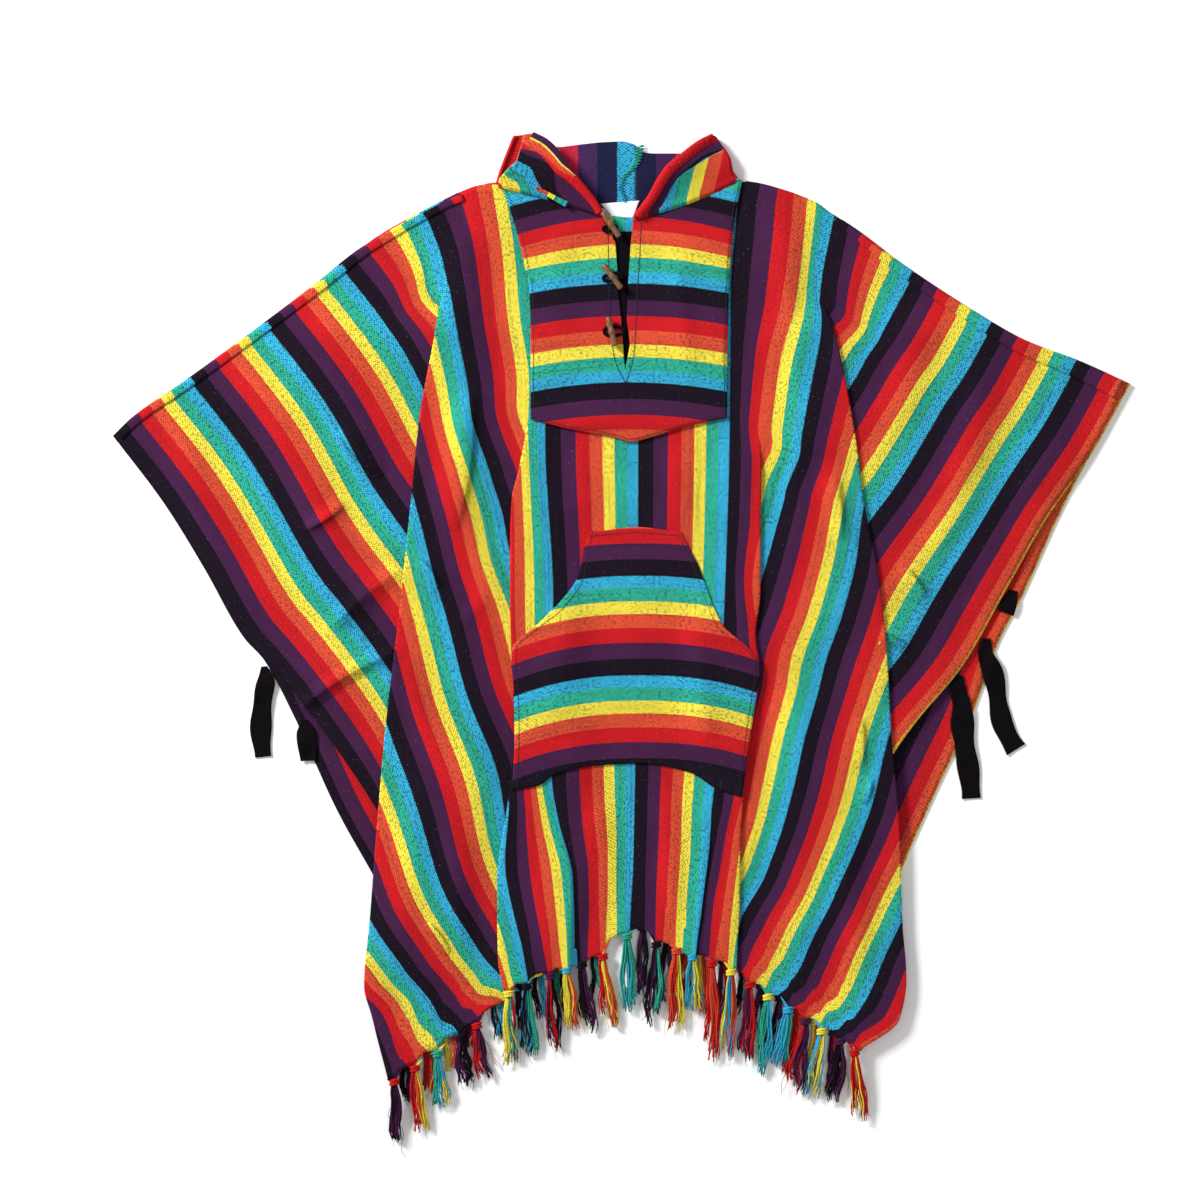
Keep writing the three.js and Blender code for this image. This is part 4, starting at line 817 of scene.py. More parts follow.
lattice = grain_math("MULTIPLY", float_row(across_count, FLOAT_ACROSS, grain_noise(0.2, 0.2, 0.0, 11.0)),
                     float_row(along_count, FLOAT_ALONG, grain_noise(0.2, 0.2, 0.0, 13.0)))
uneven = grain_math("MULTIPLY_ADD", grain_noise(0.52, 0.56, 1.0), UNEVEN, -UNEVEN / 2)
specks = window(grain_math("MULTIPLY_ADD", lattice, LATTICE_SHARE, uneven), FLECK_FROM, FLECK_TO)
line_place = window(grain_noise(0.34, 0.008, 1.0, 6.0), 0.60, 0.65)
line_gaps = window(grain_noise(0.25, 0.7, 1.0, 7.0), 0.46, 0.54)
lines = grain_math("MULTIPLY", line_place, line_gaps)
fleck = grain_math("MAXIMUM", specks, grain_math("MULTIPLY", lines, 0.9))
shade = grain_noise(0.045, 0.02, 3.0, 4.0)
nub = window(grain_noise(0.5, 0.6, 1.0, 9.0), 0.69, 0.76)
rib = grain_math("SINE", grain_math("MULTIPLY", along_count, 2 * math.pi))
yarn = grain_math("SINE", grain_math("MULTIPLY", across_count, 2 * math.pi))
weave = grain_math("MULTIPLY", rib, yarn)
height = grain_math("MULTIPLY_ADD", weave, 0.22,
                    grain_math("MULTIPLY_ADD", grain_noise(0.9, 0.3, 2.0, 2.0), 0.9,
                               grain_math("MULTIPLY", nub, 0.6)))
for label, value in (("Fleck", fleck), ("Shade", shade), ("Nub", nub), ("Height", height),
                     ("Lattice", lattice)):
    grain_group.links.new(value, g_out.inputs[label])
print("grain outputs", [s.name for s in g_out.inputs if s.name])

# %% [markdown]
# Where the poncho was folded for a long time, narrow pressed creases stay in the cloth. They are
# sharper than the soft ridges of the shells, so one node group draws a single crease between two
# places, steep on one side and soft on the other, and the finish adds up the first twelve of the table
# of creases. A bump gives them their relief, because they are finer than the rows of the shells. The
# group also gives a painted shade: the finish darkens the cloth's colour along the foot of the steep
# side, where the crease falls into shade.

# %% Pressed crease
crease_group, g_in, g_out = new_group(
    "pressed crease", [("Place", "Vector"), ("Start X", "Float"), ("Start Y", "Float"),
                       ("End X", "Float"), ("End Y", "Float"), ("Width", "Float", 0.008),
                       ("Bow", "Float", 0.004)],
    [("Height", "Float"), ("Shade", "Float")],
)
crease_math = math_in(crease_group)
STEEP_CUT, FADE_POWER, FOOT_AT, FOOT_WIDE = 0.62, 0.7, 0.36, 0.34
spot = add(crease_group, "SeparateXYZ", {0: g_in.outputs["Place"]})
step_x = crease_math("SUBTRACT", g_in.outputs["End X"], g_in.outputs["Start X"])
step_y = crease_math("SUBTRACT", g_in.outputs["End Y"], g_in.outputs["Start Y"])
far_x = crease_math("SUBTRACT", spot.outputs["X"], g_in.outputs["Start X"])
far_y = crease_math("SUBTRACT", spot.outputs["Y"], g_in.outputs["Start Y"])
square = crease_math("ADD", crease_math("MULTIPLY", step_x, step_x),
                     crease_math("MULTIPLY", step_y, step_y))
dot = crease_math("ADD", crease_math("MULTIPLY", far_x, step_x), crease_math("MULTIPLY", far_y, step_y))
down_line = add(crease_group, "Clamp", {"Value": crease_math("DIVIDE", dot, square)}).outputs[0]
cross = crease_math("SUBTRACT", crease_math("MULTIPLY", far_y, step_x),
                    crease_math("MULTIPLY", far_x, step_y))
hump = crease_math("MULTIPLY", crease_math("MULTIPLY", down_line, 4.0),
                   crease_math("SUBTRACT", 1.0, down_line))
aside = crease_math("SUBTRACT", crease_math("DIVIDE", cross, crease_math("SQRT", square)),
                    crease_math("MULTIPLY", hump, g_in.outputs["Bow"]))
steep = crease_math("MULTIPLY_ADD", crease_math("GREATER_THAN", aside, 0.0), -STEEP_CUT, 1.0)
scaled = crease_math("DIVIDE", aside, crease_math("MULTIPLY", g_in.outputs["Width"], steep))
bell = crease_math("EXPONENT", crease_math("MULTIPLY", crease_math("MULTIPLY", scaled, scaled), -1.0))
fade = crease_math("POWER", hump, FADE_POWER)
crease_group.links.new(crease_math("MULTIPLY", bell, fade), g_out.inputs["Height"])
# Shade output: painted shade, a dark line along the foot of the steep side, where the crease falls into
# shade
foot = crease_math("DIVIDE",
                   crease_math("SUBTRACT", aside,
                               crease_math("MULTIPLY", g_in.outputs["Width"], FOOT_AT)),
                   crease_math("MULTIPLY", g_in.outputs["Width"], FOOT_WIDE))
foot_bell = crease_math("EXPONENT", crease_math("MULTIPLY", crease_math("MULTIPLY", foot, foot), -1.0))
crease_group.links.new(crease_math("MULTIPLY", foot_bell, fade), g_out.inputs["Shade"])

PRESSED, PRESSED_WIDTH, PRESSED_BOW = 12, 0.9, 0.05


def crease_sum(tree):
    """Height and painted shade of all pressed creases at the object coordinates."""
    place = add(tree, "TexCoord").outputs["Object"]
    height, shade = None, None
    for n in range(PRESSED):
        x0, y0, x1, y1, width = (float(CREASES[c][n]) * MM for c in CREASE[:5])
        one = add(tree, "Group", {"Place": place, "Start X": x0, "Start Y": y0, "End X": x1, "End Y": y1,
                                  "Width": width * PRESSED_WIDTH,
                                  "Bow": PRESSED_BOW * math.hypot(x1 - x0, y1 - y0)},
                  node_tree=crease_group)
        rise, dark = one.outputs["Height"], one.outputs["Shade"]
        height = rise if height is None else math_node(tree, "ADD", height, rise)
        shade = dark if shade is None else math_node(tree, "MAXIMUM", shade, dark)
    return height, shade


print("pressed creases", PRESSED)

# %% [markdown]
# The striped cotton is the main finish. Fluffy yarn has hardly any shine, so the roughness is high all
# over and the reflection weak. The stripes, flecks and ribs come from the two groups through the
# cloth's own UV map, so they follow the cloth into the pleats. The pressed creases add painted shade
# to the colour. The hood's finish adds a faint blue to the colour of its inside, which lies in shade:
# a painted shade tint.

# %% Striped cotton
FLECK_COLOUR, NUB_COLOUR = (0.012, 0.012, 0.03, 1), (0.42, 0.38, 0.42, 1)
# a faint blue painted into the colour of the hood's low inside, which lies in shade: painted shade tint
PAINTED_SHADE_TINT = (0.002, 0.008, 0.034, 1)
# the third value sets how far the painted shade of the pressed creases darkens the colour
FLECK_DEPTH, NUB_AMOUNT, PAINTED_CREASE_SHADE = 0.66, 0.45, -0.34
SHADE_LOW, SHADE_HIGH, LATTICE_SLUB, LATTICE_PLAIN = 0.84, 1.12, -0.22, -0.08
RIB_HEIGHT, FOLD_STRENGTH, FOLD_HEIGHT = 0.0009, 0.9, 0.004


def new_finish(name, roughness, specular=0.5):
    """A material with its tree, its shader and the place on the cloth."""
    material = bpy.data.materials.new(name)
    material.use_nodes = True
    tree = material.node_tree
    shader = tree.nodes["Principled BSDF"]
    shader.inputs["Roughness"].default_value = roughness
    shader.inputs["Specular IOR Level"].default_value = specular
    place = add(tree, "SeparateXYZ", {0: add(tree, "UVMap", uv_map="cloth").outputs[0]})
    return material, tree, shader, place


def striped_cotton(name, fleck_amount=1.0, rib=0.5, darken=1.0, creased=False, shade_tint_below=0.0):
    material, tree, shader, place = new_finish(name, roughness=0.92, specular=0.12)
    calc = math_in(tree)
    stripes = add(tree, "Group", node_tree=stripe_group)
    grain = add(tree, "Group", node_tree=grain_group)
    tree.links.new(place.outputs["X"], stripes.inputs["Run"])
    tree.links.new(place.outputs["Y"], stripes.inputs["Length"])
    tree.links.new(calc("MULTIPLY", place.outputs["X"], REPEAT * MM), grain.inputs["Across"])
    tree.links.new(place.outputs["Y"], grain.inputs["Along"])
    amount = calc("MULTIPLY", calc("MULTIPLY", grain.outputs["Fleck"], stripes.outputs["Slub"]),
                  fleck_amount)
    dark = blend(tree, FLECK_DEPTH, stripes.outputs["Color"], FLECK_COLOUR)
    flecked = blend(tree, amount, stripes.outputs["Color"], dark)
    nubs = calc("MULTIPLY", grain.outputs["Nub"], calc("MULTIPLY", stripes.outputs["Nubs"], NUB_AMOUNT))
    colour = blend(tree, nubs, flecked, NUB_COLOUR)
    # painted shade: a faint blue added to the colour below this height, on the hood's inside, which lies
    # in shade
    if shade_tint_below:
        height = add(tree, "SeparateXYZ", {0: add(tree, "TexCoord").outputs["Object"]}).outputs["Z"]
        inside = calc("LESS_THAN", height, shade_tint_below)
        colour = blend(tree, inside, colour, PAINTED_SHADE_TINT, "ADD")
    value = add(tree, "MapRange", {"Value": grain.outputs["Shade"], "From Min": 0.3, "From Max": 0.7,
                                   "To Min": SHADE_LOW * darken, "To Max": SHADE_HIGH * darken})
    points = calc("MULTIPLY", grain.outputs["Lattice"],
                  calc("MULTIPLY_ADD", stripes.outputs["Slub"], LATTICE_SLUB, LATTICE_PLAIN))
    shade = calc("ADD", value.outputs["Result"], points)
    bump = add(tree, "Bump", {"Height": grain.outputs["Height"], "Strength": rib, "Distance": RIB_HEIGHT})
    if creased:
        crease_height, painted_crease_shade = crease_sum(tree)
        # painted shade of the pressed creases, multiplied into the cloth's colour
        shade = calc("MULTIPLY", shade, calc("MULTIPLY_ADD", painted_crease_shade, PAINTED_CREASE_SHADE, 1.0))
        folds = add(tree, "Bump", {"Height": crease_height, "Strength": FOLD_STRENGTH,
                                   "Distance": FOLD_HEIGHT})
        tree.links.new(folds.outputs[0], bump.inputs["Normal"])
    shaded = add(tree, "HueSaturation", {"Color": colour, "Value": shade})
    tree.links.new(shaded.outputs[0], shader.inputs["Base Color"])
    tree.links.new(bump.outputs[0], shader.inputs["Normal"])
    return material


cotton = striped_cotton("striped cotton", creased=True)
print("finish", cotton.name)

# %% [markdown]
# The back panel lies on the floor and the front panel on top of it. Both are long sheets with their
# stripes along the length, so the length coordinate is simply the distance down the plan.

# %% Back and front panel
def tie_to_frame(piece, node=None):
    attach(piece, "root")
    if node:
        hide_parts(node)


def finish_cloth(piece, node):
    tie_to_frame(piece, node)


def length_down(points):
    step = np.linalg.norm(np.diff(points, axis=0), axis=2)
    total = np.concatenate([np.zeros((1, points.shape[1])), np.cumsum(step, axis=0)])
    return total.mean(axis=1, keepdims=True) + 0 * total


back_panel = cloth_shell("back_cloth", back_grid[..., :3], back_grid[..., 3],
                         length_down(back_grid[..., :3]), WALL, cotton, flat_under=True)
front_panel = cloth_shell("front_cloth", front_grid[..., :3], front_grid[..., 3],
                          length_down(front_grid[..., :3]), WALL, cotton)
print("back", len(back_panel.data.polygons), "front", len(front_panel.data.polygons), "faces")

# %% [markdown]
# The yoke and the pocket are patches sewn on the front with their stripes across. A patch is a grid
# between four edge lines, laid over the front panel with a little air below. Its edges turn down to the
# panel, as a hem that has been pressed and sewn does.

# %% Patches on the front
MIDDLE_LANE = 2


def front_top(x, y):
    return lane_height(front_panel_plan, MIDDLE_LANE, x, y) + WALL / 2


def patch_grid(shape, rows, columns, lift, edge_drop=0.5, edge_width=5.0):
    """A grid between four edge lines, laid over the front panel, with its edges turned down."""
    left, right = shape["left"], shape["right"]
    t = np.linspace(0, 1, rows)[:, None]
    across = np.linspace(0, 1, columns)[None, :]
    start = read(left, "y", "x", mix(left["y"][0], left["y"][-1], t[:, 0]))[:, None]
    end = read(right, "y", "x", mix(right["y"][0], right["y"][-1], t[:, 0]))[:, None]
    x = mix(start, end, across)
    top, bottom = read(shape["top"], "x", "y", x), read(shape["bottom"], "x", "y", x)
    y = mix(top, bottom, t)
    away = np.minimum.reduce([x - start, end - x, top - y, y - bottom])
    z = front_top(x, y) + lift - edge_drop * (1 - ease(0, edge_width, away))
    return np.stack([x, y, z], -1)


yoke_shape = dict(
    left=table(PLACE, [(-154, 575), (-140, 543), (-125, 490), (-115, 434), (-114, 389), (-114, 278)]),
    right=table(PLACE, [(150, 576), (139, 517), (134, 453), (132, 389), (131, 326), (131, 279)]),
    top=dict(x=front_neck["x"], y=front_neck["y"] + 0.8),
    bottom=table(PLACE, [(-114, 278), (-74, 267), (-6, 254), (11, 249), (29, 253), (80, 268),
                         (131, 279)]),
)
pocket_shape = dict(
    left=table(PLACE, [(-42, 137), (-48, 111), (-54, 79), (-79, 42), (-110, 17), (-137, -8), (-138, -23),
                       (-135, -60), (-134, -117), (-137, -183)]),
    right=table(PLACE, [(74, 137), (83, 116), (95, 92), (109, 53), (126, 17), (160, -10), (171, -24),
                        (172, -35), (167, -68), (160, -115), (150, -195)]),
    top=table(PLACE, [(-140, 137), (-42, 137), (20, 143), (74, 137), (175, 137)]),
    bottom=table(PLACE, [(-138, -184), (-106, -180), (-81, -164), (-29, -154), (25, -152), (85, -163),
                         (116, -182), (172, -200)]),
)
YOKE_LIFT, POCKET_LIFT = 2.4 + WALL / 2, 1.0 + WALL / 2
yoke_points = patch_grid(yoke_shape, 120, 110, YOKE_LIFT, edge_drop=1.0, edge_width=7)
pocket_points = patch_grid(pocket_shape, 130, 120, POCKET_LIFT)
print("yoke", yoke_points.shape[:2], "pocket", pocket_points.shape[:2])

# %% [markdown]
# On the yoke the stripes bow up a little towards the middle, and on the pocket their ends droop. Both
# are small amounts added to the stripe count. The slit is a real cut: a wedge as wide as the gap
# between its two edges is taken out of the yoke.

# %% Yoke and pocket
YOKE_MIDDLE, YOKE_HALF, YOKE_BOW, YOKE_RUN_FROM = 10, 137, 15, 432
YOKE_REPEAT, YOKE_REPEAT_TOP = 123.5, 115.0
POCKET_MIDDLE, POCKET_HALF, POCKET_DROOP, POCKET_RUN_FROM, POCKET_REPEAT = 23, 145, 22, 82, 124
LEAST_POCKET_RUN = 1.03


def yoke_run(x, y):
    bow = YOKE_BOW + 6 * ease(450, 510, y) - 3 * ease(530, 560, y)
    bow = bow * (1 - ((x - YOKE_MIDDLE) / YOKE_HALF) ** 2)
    return 2 + (YOKE_RUN_FROM + bow - y) / mix(YOKE_REPEAT, YOKE_REPEAT_TOP, ease(430, 500, y))


def pocket_run(x, y):
    droop = POCKET_DROOP * (np.abs(x - POCKET_MIDDLE) / POCKET_HALF) ** 2.4
    return np.maximum(3 + (y + droop - POCKET_RUN_FROM) / POCKET_REPEAT, LEAST_POCKET_RUN)


def wedge(name, outline, low, high):
    count = len(outline)
    vertices = [(x * MM, y * MM, z * MM) for z in (low, high) for x, y in outline]
    faces = [list(range(count))[::-1], list(range(count, 2 * count))]
    faces += [(i, (i + 1) % count, (i + 1) % count + count, i + count) for i in range(count)]
    return mesh_object(name, vertices, faces)


def plain(piece):
    """Applies the modifiers of a piece and returns it with one plain mesh."""
    graph = bpy.context.evaluated_depsgraph_get()
    mesh = bpy.data.meshes.new_from_object(piece.evaluated_get(graph))
    piece.modifiers.clear()
    piece.data = mesh
    return piece


SLIT = [(-30, 560), (-26, 533), (-8, 498), (-4, 434), (-1, 403), (2, 358), (4, 339), (10, 371), (6, 403),
        (8, 453), (11, 498), (14, 527), (16, 560)]
CUT_LOW, CUT_HIGH = -20, 60
yoke = cloth_shell("yoke_cloth", yoke_points, yoke_run(yoke_points[..., 0], yoke_points[..., 1]),
                   yoke_points[..., 0], WALL, cotton)
cutter = wedge("slit cutter", SLIT, CUT_LOW, CUT_HIGH)
cut = yoke.modifiers.new("slit", "BOOLEAN")
cut.operation, cut.object, cut.solver = "DIFFERENCE", cutter, "EXACT"
plain(yoke)
bpy.data.objects.remove(cutter)
pocket = cloth_shell("pocket_cloth", pocket_points,
                     pocket_run(pocket_points[..., 0], pocket_points[..., 1]), pocket_points[..., 0],
                     WALL, cotton)
print("yoke faces after the cut", len(yoke.data.polygons))

# %% [markdown]
# The hood lies open: each half starts at the seam down the back, lies on the floor as the back wall,
# turns up at the side and comes back over it as the side wall. The rim is a turned hem, thicker than
# the cloth. Inside, the stripes run up and down. Outside, they follow the rim.

# %% Tables of the hood
UP = ("up", "x", "y")
AWAY = ("away", "low", "middle", "high")
RIM = ("up", "width", "black", "yellow", "orange")
hood_top = table(PLACE, [
    (-136, 631), (-111, 627), (-82, 618), (-54, 621), (-25, 624), (0, 625), (16, 621), (24, 612),
    (41, 610), (75, 610), (100, 620), (118, 627),
])
hood_halves = {
    "left": dict(
        seam=17.0,
        side=table(UP, [(0, -157, 572), (22, -153.5, 584), (48, -147.7, 600), (75, -141, 617),
                        (90, -137.5, 626), (100, -135, 631)]),
        rim=table(UP, [(0, -25, 536), (12, -32, 548), (35, -52, 573), (58, -70, 594), (75, -80, 611),
                       (88, -94, 625), (100, -111, 634)]),
        rim_look=table(RIM, [(0, 7, 0.1, 0.2, 0.3), (20, 8.5, 0.1, 0.2, 0.3), (40, 11.5, 0.2, 0.4, 0.6),
                             (44, 12.5, 0.35, 0.8, 3), (50, 14, 0.6, 1.6, 7), (65, 19, 4.6, 6.0, 13),
                             (80, 24, 6.4, 7.9, 17), (100, 27, 5.6, 7.2, 20)]),
        stripes=table(AWAY, [(0, 1.36, 1.36, 1.5), (7, 1.325, 1.35, 1.5), (12.3, 1.29, 1.325, 1.5),
                             (16.6, 1.255, 1.165, 1.5), (19, 1.24, 1.15, 1.44), (27, 1.185, 1.09, 1.37),
                             (29, 1.17, 1.08, 1.06), (34, 1.1, 1.045, 1.02), (39.5, 1.02, 1.0, 0.97),
                             (45, 0.97, 0.94, 0.94), (52, 0.90, 0.88, 0.9), (60, 0.80, 0.745, 0.86),
                             (67, 0.70, 0.615, 0.8), (74, 0.62, 0.54, 0.75), (110, 0.45, 0.45, 0.6)]),
        sag=-2.0, sliver=table(("up", "width"),
                               [(0, 0), (8, 0), (20, 5), (36, 11), (52, 17), (76, 16), (100, 14)])),
    "right": dict(
        seam=17.6,
        side=table(UP, [(0, 144, 579), (25, 138, 588), (50, 135, 602), (70, 130, 612), (85, 124, 620),
                        (100, 117, 630)]),
        rim=table(UP, [(0, 16, 532), (20, 34, 556), (36, 44.5, 575), (50, 55.5, 591), (68, 77, 609),
                       (85, 97, 624), (100, 113, 632)]),
        rim_look=table(RIM, [(0, 8, -1, -1, -1), (50, 11, -1, -1, -1), (100, 10, -1, -1, -1)]),
        stripes=table(AWAY, [(0, 1.36, 1.36, 1.36), (10.8, 1.325, 1.325, 1.325), (17, 1.24, 1.165, 1.28),
                             (21, 1.165, 1.0, 1.24), (25, 1.10, 0.88, 1.17), (29, 1.04, 0.81, 0.98),
                             (34, 1.0, 0.745, 0.70), (41, 0.90, 0.615, 0.56), (51, 0.70, 0.475, 0.45),
                             (58, 0.58, 0.42, 0.40), (72, 0.45, 0.36, 0.3), (110, 0.36, 0.3, 0.2)]),
        sag=5.0, across=table(("x", "run"), [
            (52, 1.0), (70.4, 0.88), (87, 0.745), (101.7, 0.615), (118.3, 0.475), (134, 0.36),
            (150, 0.34)]),
        sliver=table(("up", "width"), [(0, 0), (100, 0)])),
}
print("rows across the side walls:",
      {side: len(half["stripes"]["away"]) for side, half in hood_halves.items()})

# %% [markdown]
# One ring of a hood half runs from the back seam along the floor, round a half turn at the side and
# over the side wall to the rim. The side wall is higher in its middle, hangs a little between turn and
# rim and has a few soft waves. On the left half a narrow strip of its inside shows along the turn. The
# last ring laps over the yoke.

# %% Walls of the hood
NECK_FOOT_Y, SIDE_TURN, SEAM_LAP, LAP_RISE = 533.0, 3.0, 5.5, 0.3
HOOD_NECK, HOOD_CROWN, HOOD_TOP_RISE, HOOD_RIM, HOOD_WAVE = 9.2, 14.0, 11.0, 5.0, 1.1
FLAP_STEPS, RIM_STEPS, SLIVER_SINK, SLIVER_RUN, TURN_RUN = 97, 160, 3.4, 0.36, 0.4
LEFT_BACK = table(("x", "run"), [(-156, 2.0), (-54.4, 1.325), (-30.4, 1.165), (-6, 1.0), (17.2, 0.885)])
RIGHT_BACK_RUN, RIGHT_BACK_REPEAT = 1.005, 152


def hood_rise(t):
    return mix(mix(HOOD_NECK, HOOD_CROWN, ease(0, 0.5, t)), HOOD_TOP_RISE, ease(0.5, 1, t))


def flap_point(half, up, share):
    """A place on the side wall: share 0 at the side turn, 1 at the rim."""
    t = up / 100
    turn, edge = place_at(half["side"], up, "up"), place_at(half["rim"], up, "up")
    place = mix(turn, edge, share)
    sag = half["sag"] * math.sin(math.pi * share) * (1 - float(ease(0, 0.3, t)))
    soft = HOOD_WAVE * math.sin(8 * share + 5 * t) * math.sin(math.pi * share)
    soft *= math.sin(math.pi * min(1, 1.2 * t))
    z = hood_rise(t) + HOOD_RIM * share * share * math.sin(math.pi * (0.15 + 0.7 * t)) + soft
    sliver = float(read(half["sliver"], "up", "width", up))
    if sliver > 1:
        from_turn = float(np.linalg.norm(place - turn))
        z -= SLIVER_SINK * (1 - float(ease(sliver - 3, sliver + 1, from_turn)))
    return np.array([place[0], place[1] - sag, z])


def flap_runs(half, points, t):
    """The stripe count on the side wall, from the distance to the rim and the height on the hood."""
    away = away_from(half["rim"], points[:, 0], points[:, 1], "up", RIM_STEPS)
    low, middle, high = (read(half["stripes"], "away", c, away) for c in ("low", "middle", "high"))
    run = np.where(t < 0.5, mix(low, middle, ease(0.08, 0.5, t)), mix(middle, high, ease(0.5, 0.85, t)))
    if "across" in half:
        leaned = points[:, 0] - 0.25 * (points[:, 1] - 577)
        run = np.where(away > 19 + 4 * ease(0.3, 0.6, t), read(half["across"], "x", "run", leaned), run)
    sliver = float(read(half["sliver"], "up", "width", 100 * t))
    if sliver > 1:
        inside = np.linalg.norm(points[:, :2] - place_at(half["side"], 100 * t, "up"),
                                axis=1) < sliver - 1
        run = np.where(inside, SLIVER_RUN, run)
    return run


def hood_grid(half, rows=72):
    """Rings from the back seam to the rim, from the top of the hood down to the neck."""
    side, seam = half["side"], half["seam"]
    sign = 1.0 if side["x"][0] > seam else -1.0
    points, runs = [], []
    for up in [*np.linspace(100, 0, rows), -SEAM_LAP]:
        lap, up = min(up, 0.0), max(up, 0.0)
        t = up / 100
        turn_x, turn_y = place_at(side, up, "up")
        ring, ring_runs = [], []
        for share in np.linspace(0, 0.97, 60):
            x = mix(seam, turn_x - sign * SIDE_TURN, share)
            reach = abs(x - seam) / abs(side["x"][0] - seam)
            foot = mix(NECK_FOOT_Y, side["y"][0] - 2, min(reach, 1))
            y = mix(foot, float(read(hood_top, "x", "y", x)), t)
            ring.append((x, mix(y, turn_y, ease(0.9, 1.0, share)), BACK_MID))
            if sign < 0:
                ring_runs.append(float(np.interp(x, LEFT_BACK["x"], LEFT_BACK["run"])))
            else:
                ring_runs.append(RIGHT_BACK_RUN + (x - seam) / RIGHT_BACK_REPEAT)
        rise = hood_rise(t)
        for angle in np.linspace(0, math.pi, 10):
            ring.append((turn_x - sign * SIDE_TURN * (1 - math.sin(angle)), turn_y,
                         mix(BACK_MID, rise, (1 - math.cos(angle)) / 2)))
            ring_runs.append(TURN_RUN)
        flap = np.array([flap_point(half, up, share) for share in np.linspace(0.02, 1, FLAP_STEPS)])
        ring = np.array(ring + flap.tolist())
        ring[-FLAP_STEPS:, 1] += lap
        ring[-FLAP_STEPS:, 2] += LAP_RISE * lap
        points.append(ring)
        runs.append(np.concatenate([ring_runs, flap_runs(half, flap, t)]))
    return np.array(points), np.array(runs)


print("rings of a hood half end", SEAM_LAP, "mm below the seam")

# %% [markdown]
# The rim is turned over and sewn, so it is a roll thicker than the cloth. On the left half the thin
# red, orange and purple stripes run along its outer edge. The roll is a shell of its own that rests on
# the side wall.

# %% Turned hem of the hood
ROLL_OUT, ROLL_LIFT, ROLL_DOME, ROLL_FALL, ROLL_WALL = 1.2, 1.9, 2.6, 0.9, 1.4
ROLL_RUNS = [2.22, 2.21, 2.19, 1.72, 1.70, 1.625, 1.58, 1.49, 1.46, 1.42, 1.36]
PLAIN_RUNS = np.linspace(1.45, 1.35, len(ROLL_RUNS))


def rim_grid(half, rows=90):
    """The turned hem on the rim, domed across its width, with the thin stripes along its outer edge."""
    points, runs = [], []
    for up in np.linspace(100, 0, rows):
        edge, inner = flap_point(half, up, 1.0), flap_point(half, up, 0.93)
        line = np.array([flap_point(half, min(up + 1, 100), 1.0), flap_point(half, max(up - 1, 0), 1.0)])
        along = (line[1] - line[0])[:2]
        normal = np.array([along[1], -along[0]]) / np.linalg.norm(along)
        if normal @ (inner - edge)[:2] < 0:
            normal = -normal
        width, black, yellow, orange = (float(read(half["rim_look"], "up", c, up)) for c in RIM[1:])
        if black > 0.3:
            places = [-ROLL_OUT, -0.4, black - 0.15, black + 0.15, mix(black, yellow, 0.5), yellow,
                      mix(yellow, orange, 0.4), orange - 0.2, orange + 0.2, mix(orange, width, 0.5),
                      width]
            run = ROLL_RUNS
        else:
            places, run = np.linspace(-ROLL_OUT, width, len(PLAIN_RUNS)), PLAIN_RUNS
        ring = []
        for place in places:
            share = np.clip((place + ROLL_OUT) / (width + ROLL_OUT), 0, 1)
            spot = edge[:2] + normal * place
            slope = (edge[2] - inner[2]) / max(np.linalg.norm((inner - edge)[:2]), 1e-6)
            dome = math.sin(math.pi * float(share)) ** 0.6
            lift = ROLL_LIFT + ROLL_DOME * dome - ROLL_FALL * float(share)
            ring.append((spot[0], spot[1], edge[2] - slope * max(place, 0) + lift))
        points.append(ring[::-1])
        runs.append(run[::-1])
    return np.array(points), np.array(runs)


def facing_up(points, runs):
    """Turns the rings round where they run to the left, so that the outer side faces up."""
    if points[0, -1, 0] < points[0, 0, 0]:
        return points[:, ::-1], runs[:, ::-1]
    return points, runs


# everything of the hood below 4 mm, its inside on the floor, gets the painted blue shade tint
hood_cotton = striped_cotton("striped cotton of the hood", fleck_amount=0.9, darken=0.94,
                             shade_tint_below=0.004)
hood_pieces = {}
for side_name, half in hood_halves.items():
    points, runs = facing_up(*hood_grid(half))
    rim_points, rim_runs = facing_up(*rim_grid(half))
    wall = cloth_shell(f"hood_{side_name}_cloth", points, runs, points[..., 1], WALL, hood_cotton)
    rim = cloth_shell(f"hood_{side_name}_rim", rim_points, rim_runs, rim_points[..., 1], ROLL_WALL,
                      hood_cotton)
    hood_pieces[side_name] = (wall, rim, points)
print("hood pieces", len(hood_pieces) * 2)

# %% [markdown]
# The ties and the underlap of the slit are black cotton tape, a flat ribbon that follows a path of
# places. Its edges curl up here and there. The ties start under the panels and end on the floor.

# %% Tape
def plain_weave(name, colour, light, thread=0.0009, rib=0.5):
    """One colour of fine tape: ribs across it, and a lighter shade where the thread is worn."""
    material, tree, shader, place = new_finish(name, roughness=0.88, specular=0.06)
    calc = math_in(tree)
    grain = add(tree, "Group", {"Yarn": thread, "Pick": thread * 1.3}, node_tree=grain_group)
    tree.links.new(calc("MULTIPLY", place.outputs["X"], REPEAT * MM), grain.inputs["Across"])
    tree.links.new(place.outputs["Y"], grain.inputs["Along"])
    worn = calc("MULTIPLY", grain.outputs["Height"], 0.5)
    tree.links.new(blend(tree, worn, (*colour, 1), (*light, 1)), shader.inputs["Base Color"])
    bump = add(tree, "Bump", {"Height": grain.outputs["Height"], "Strength": rib, "Distance": 0.0006})
    tree.links.new(bump.outputs[0], shader.inputs["Normal"])
    return material


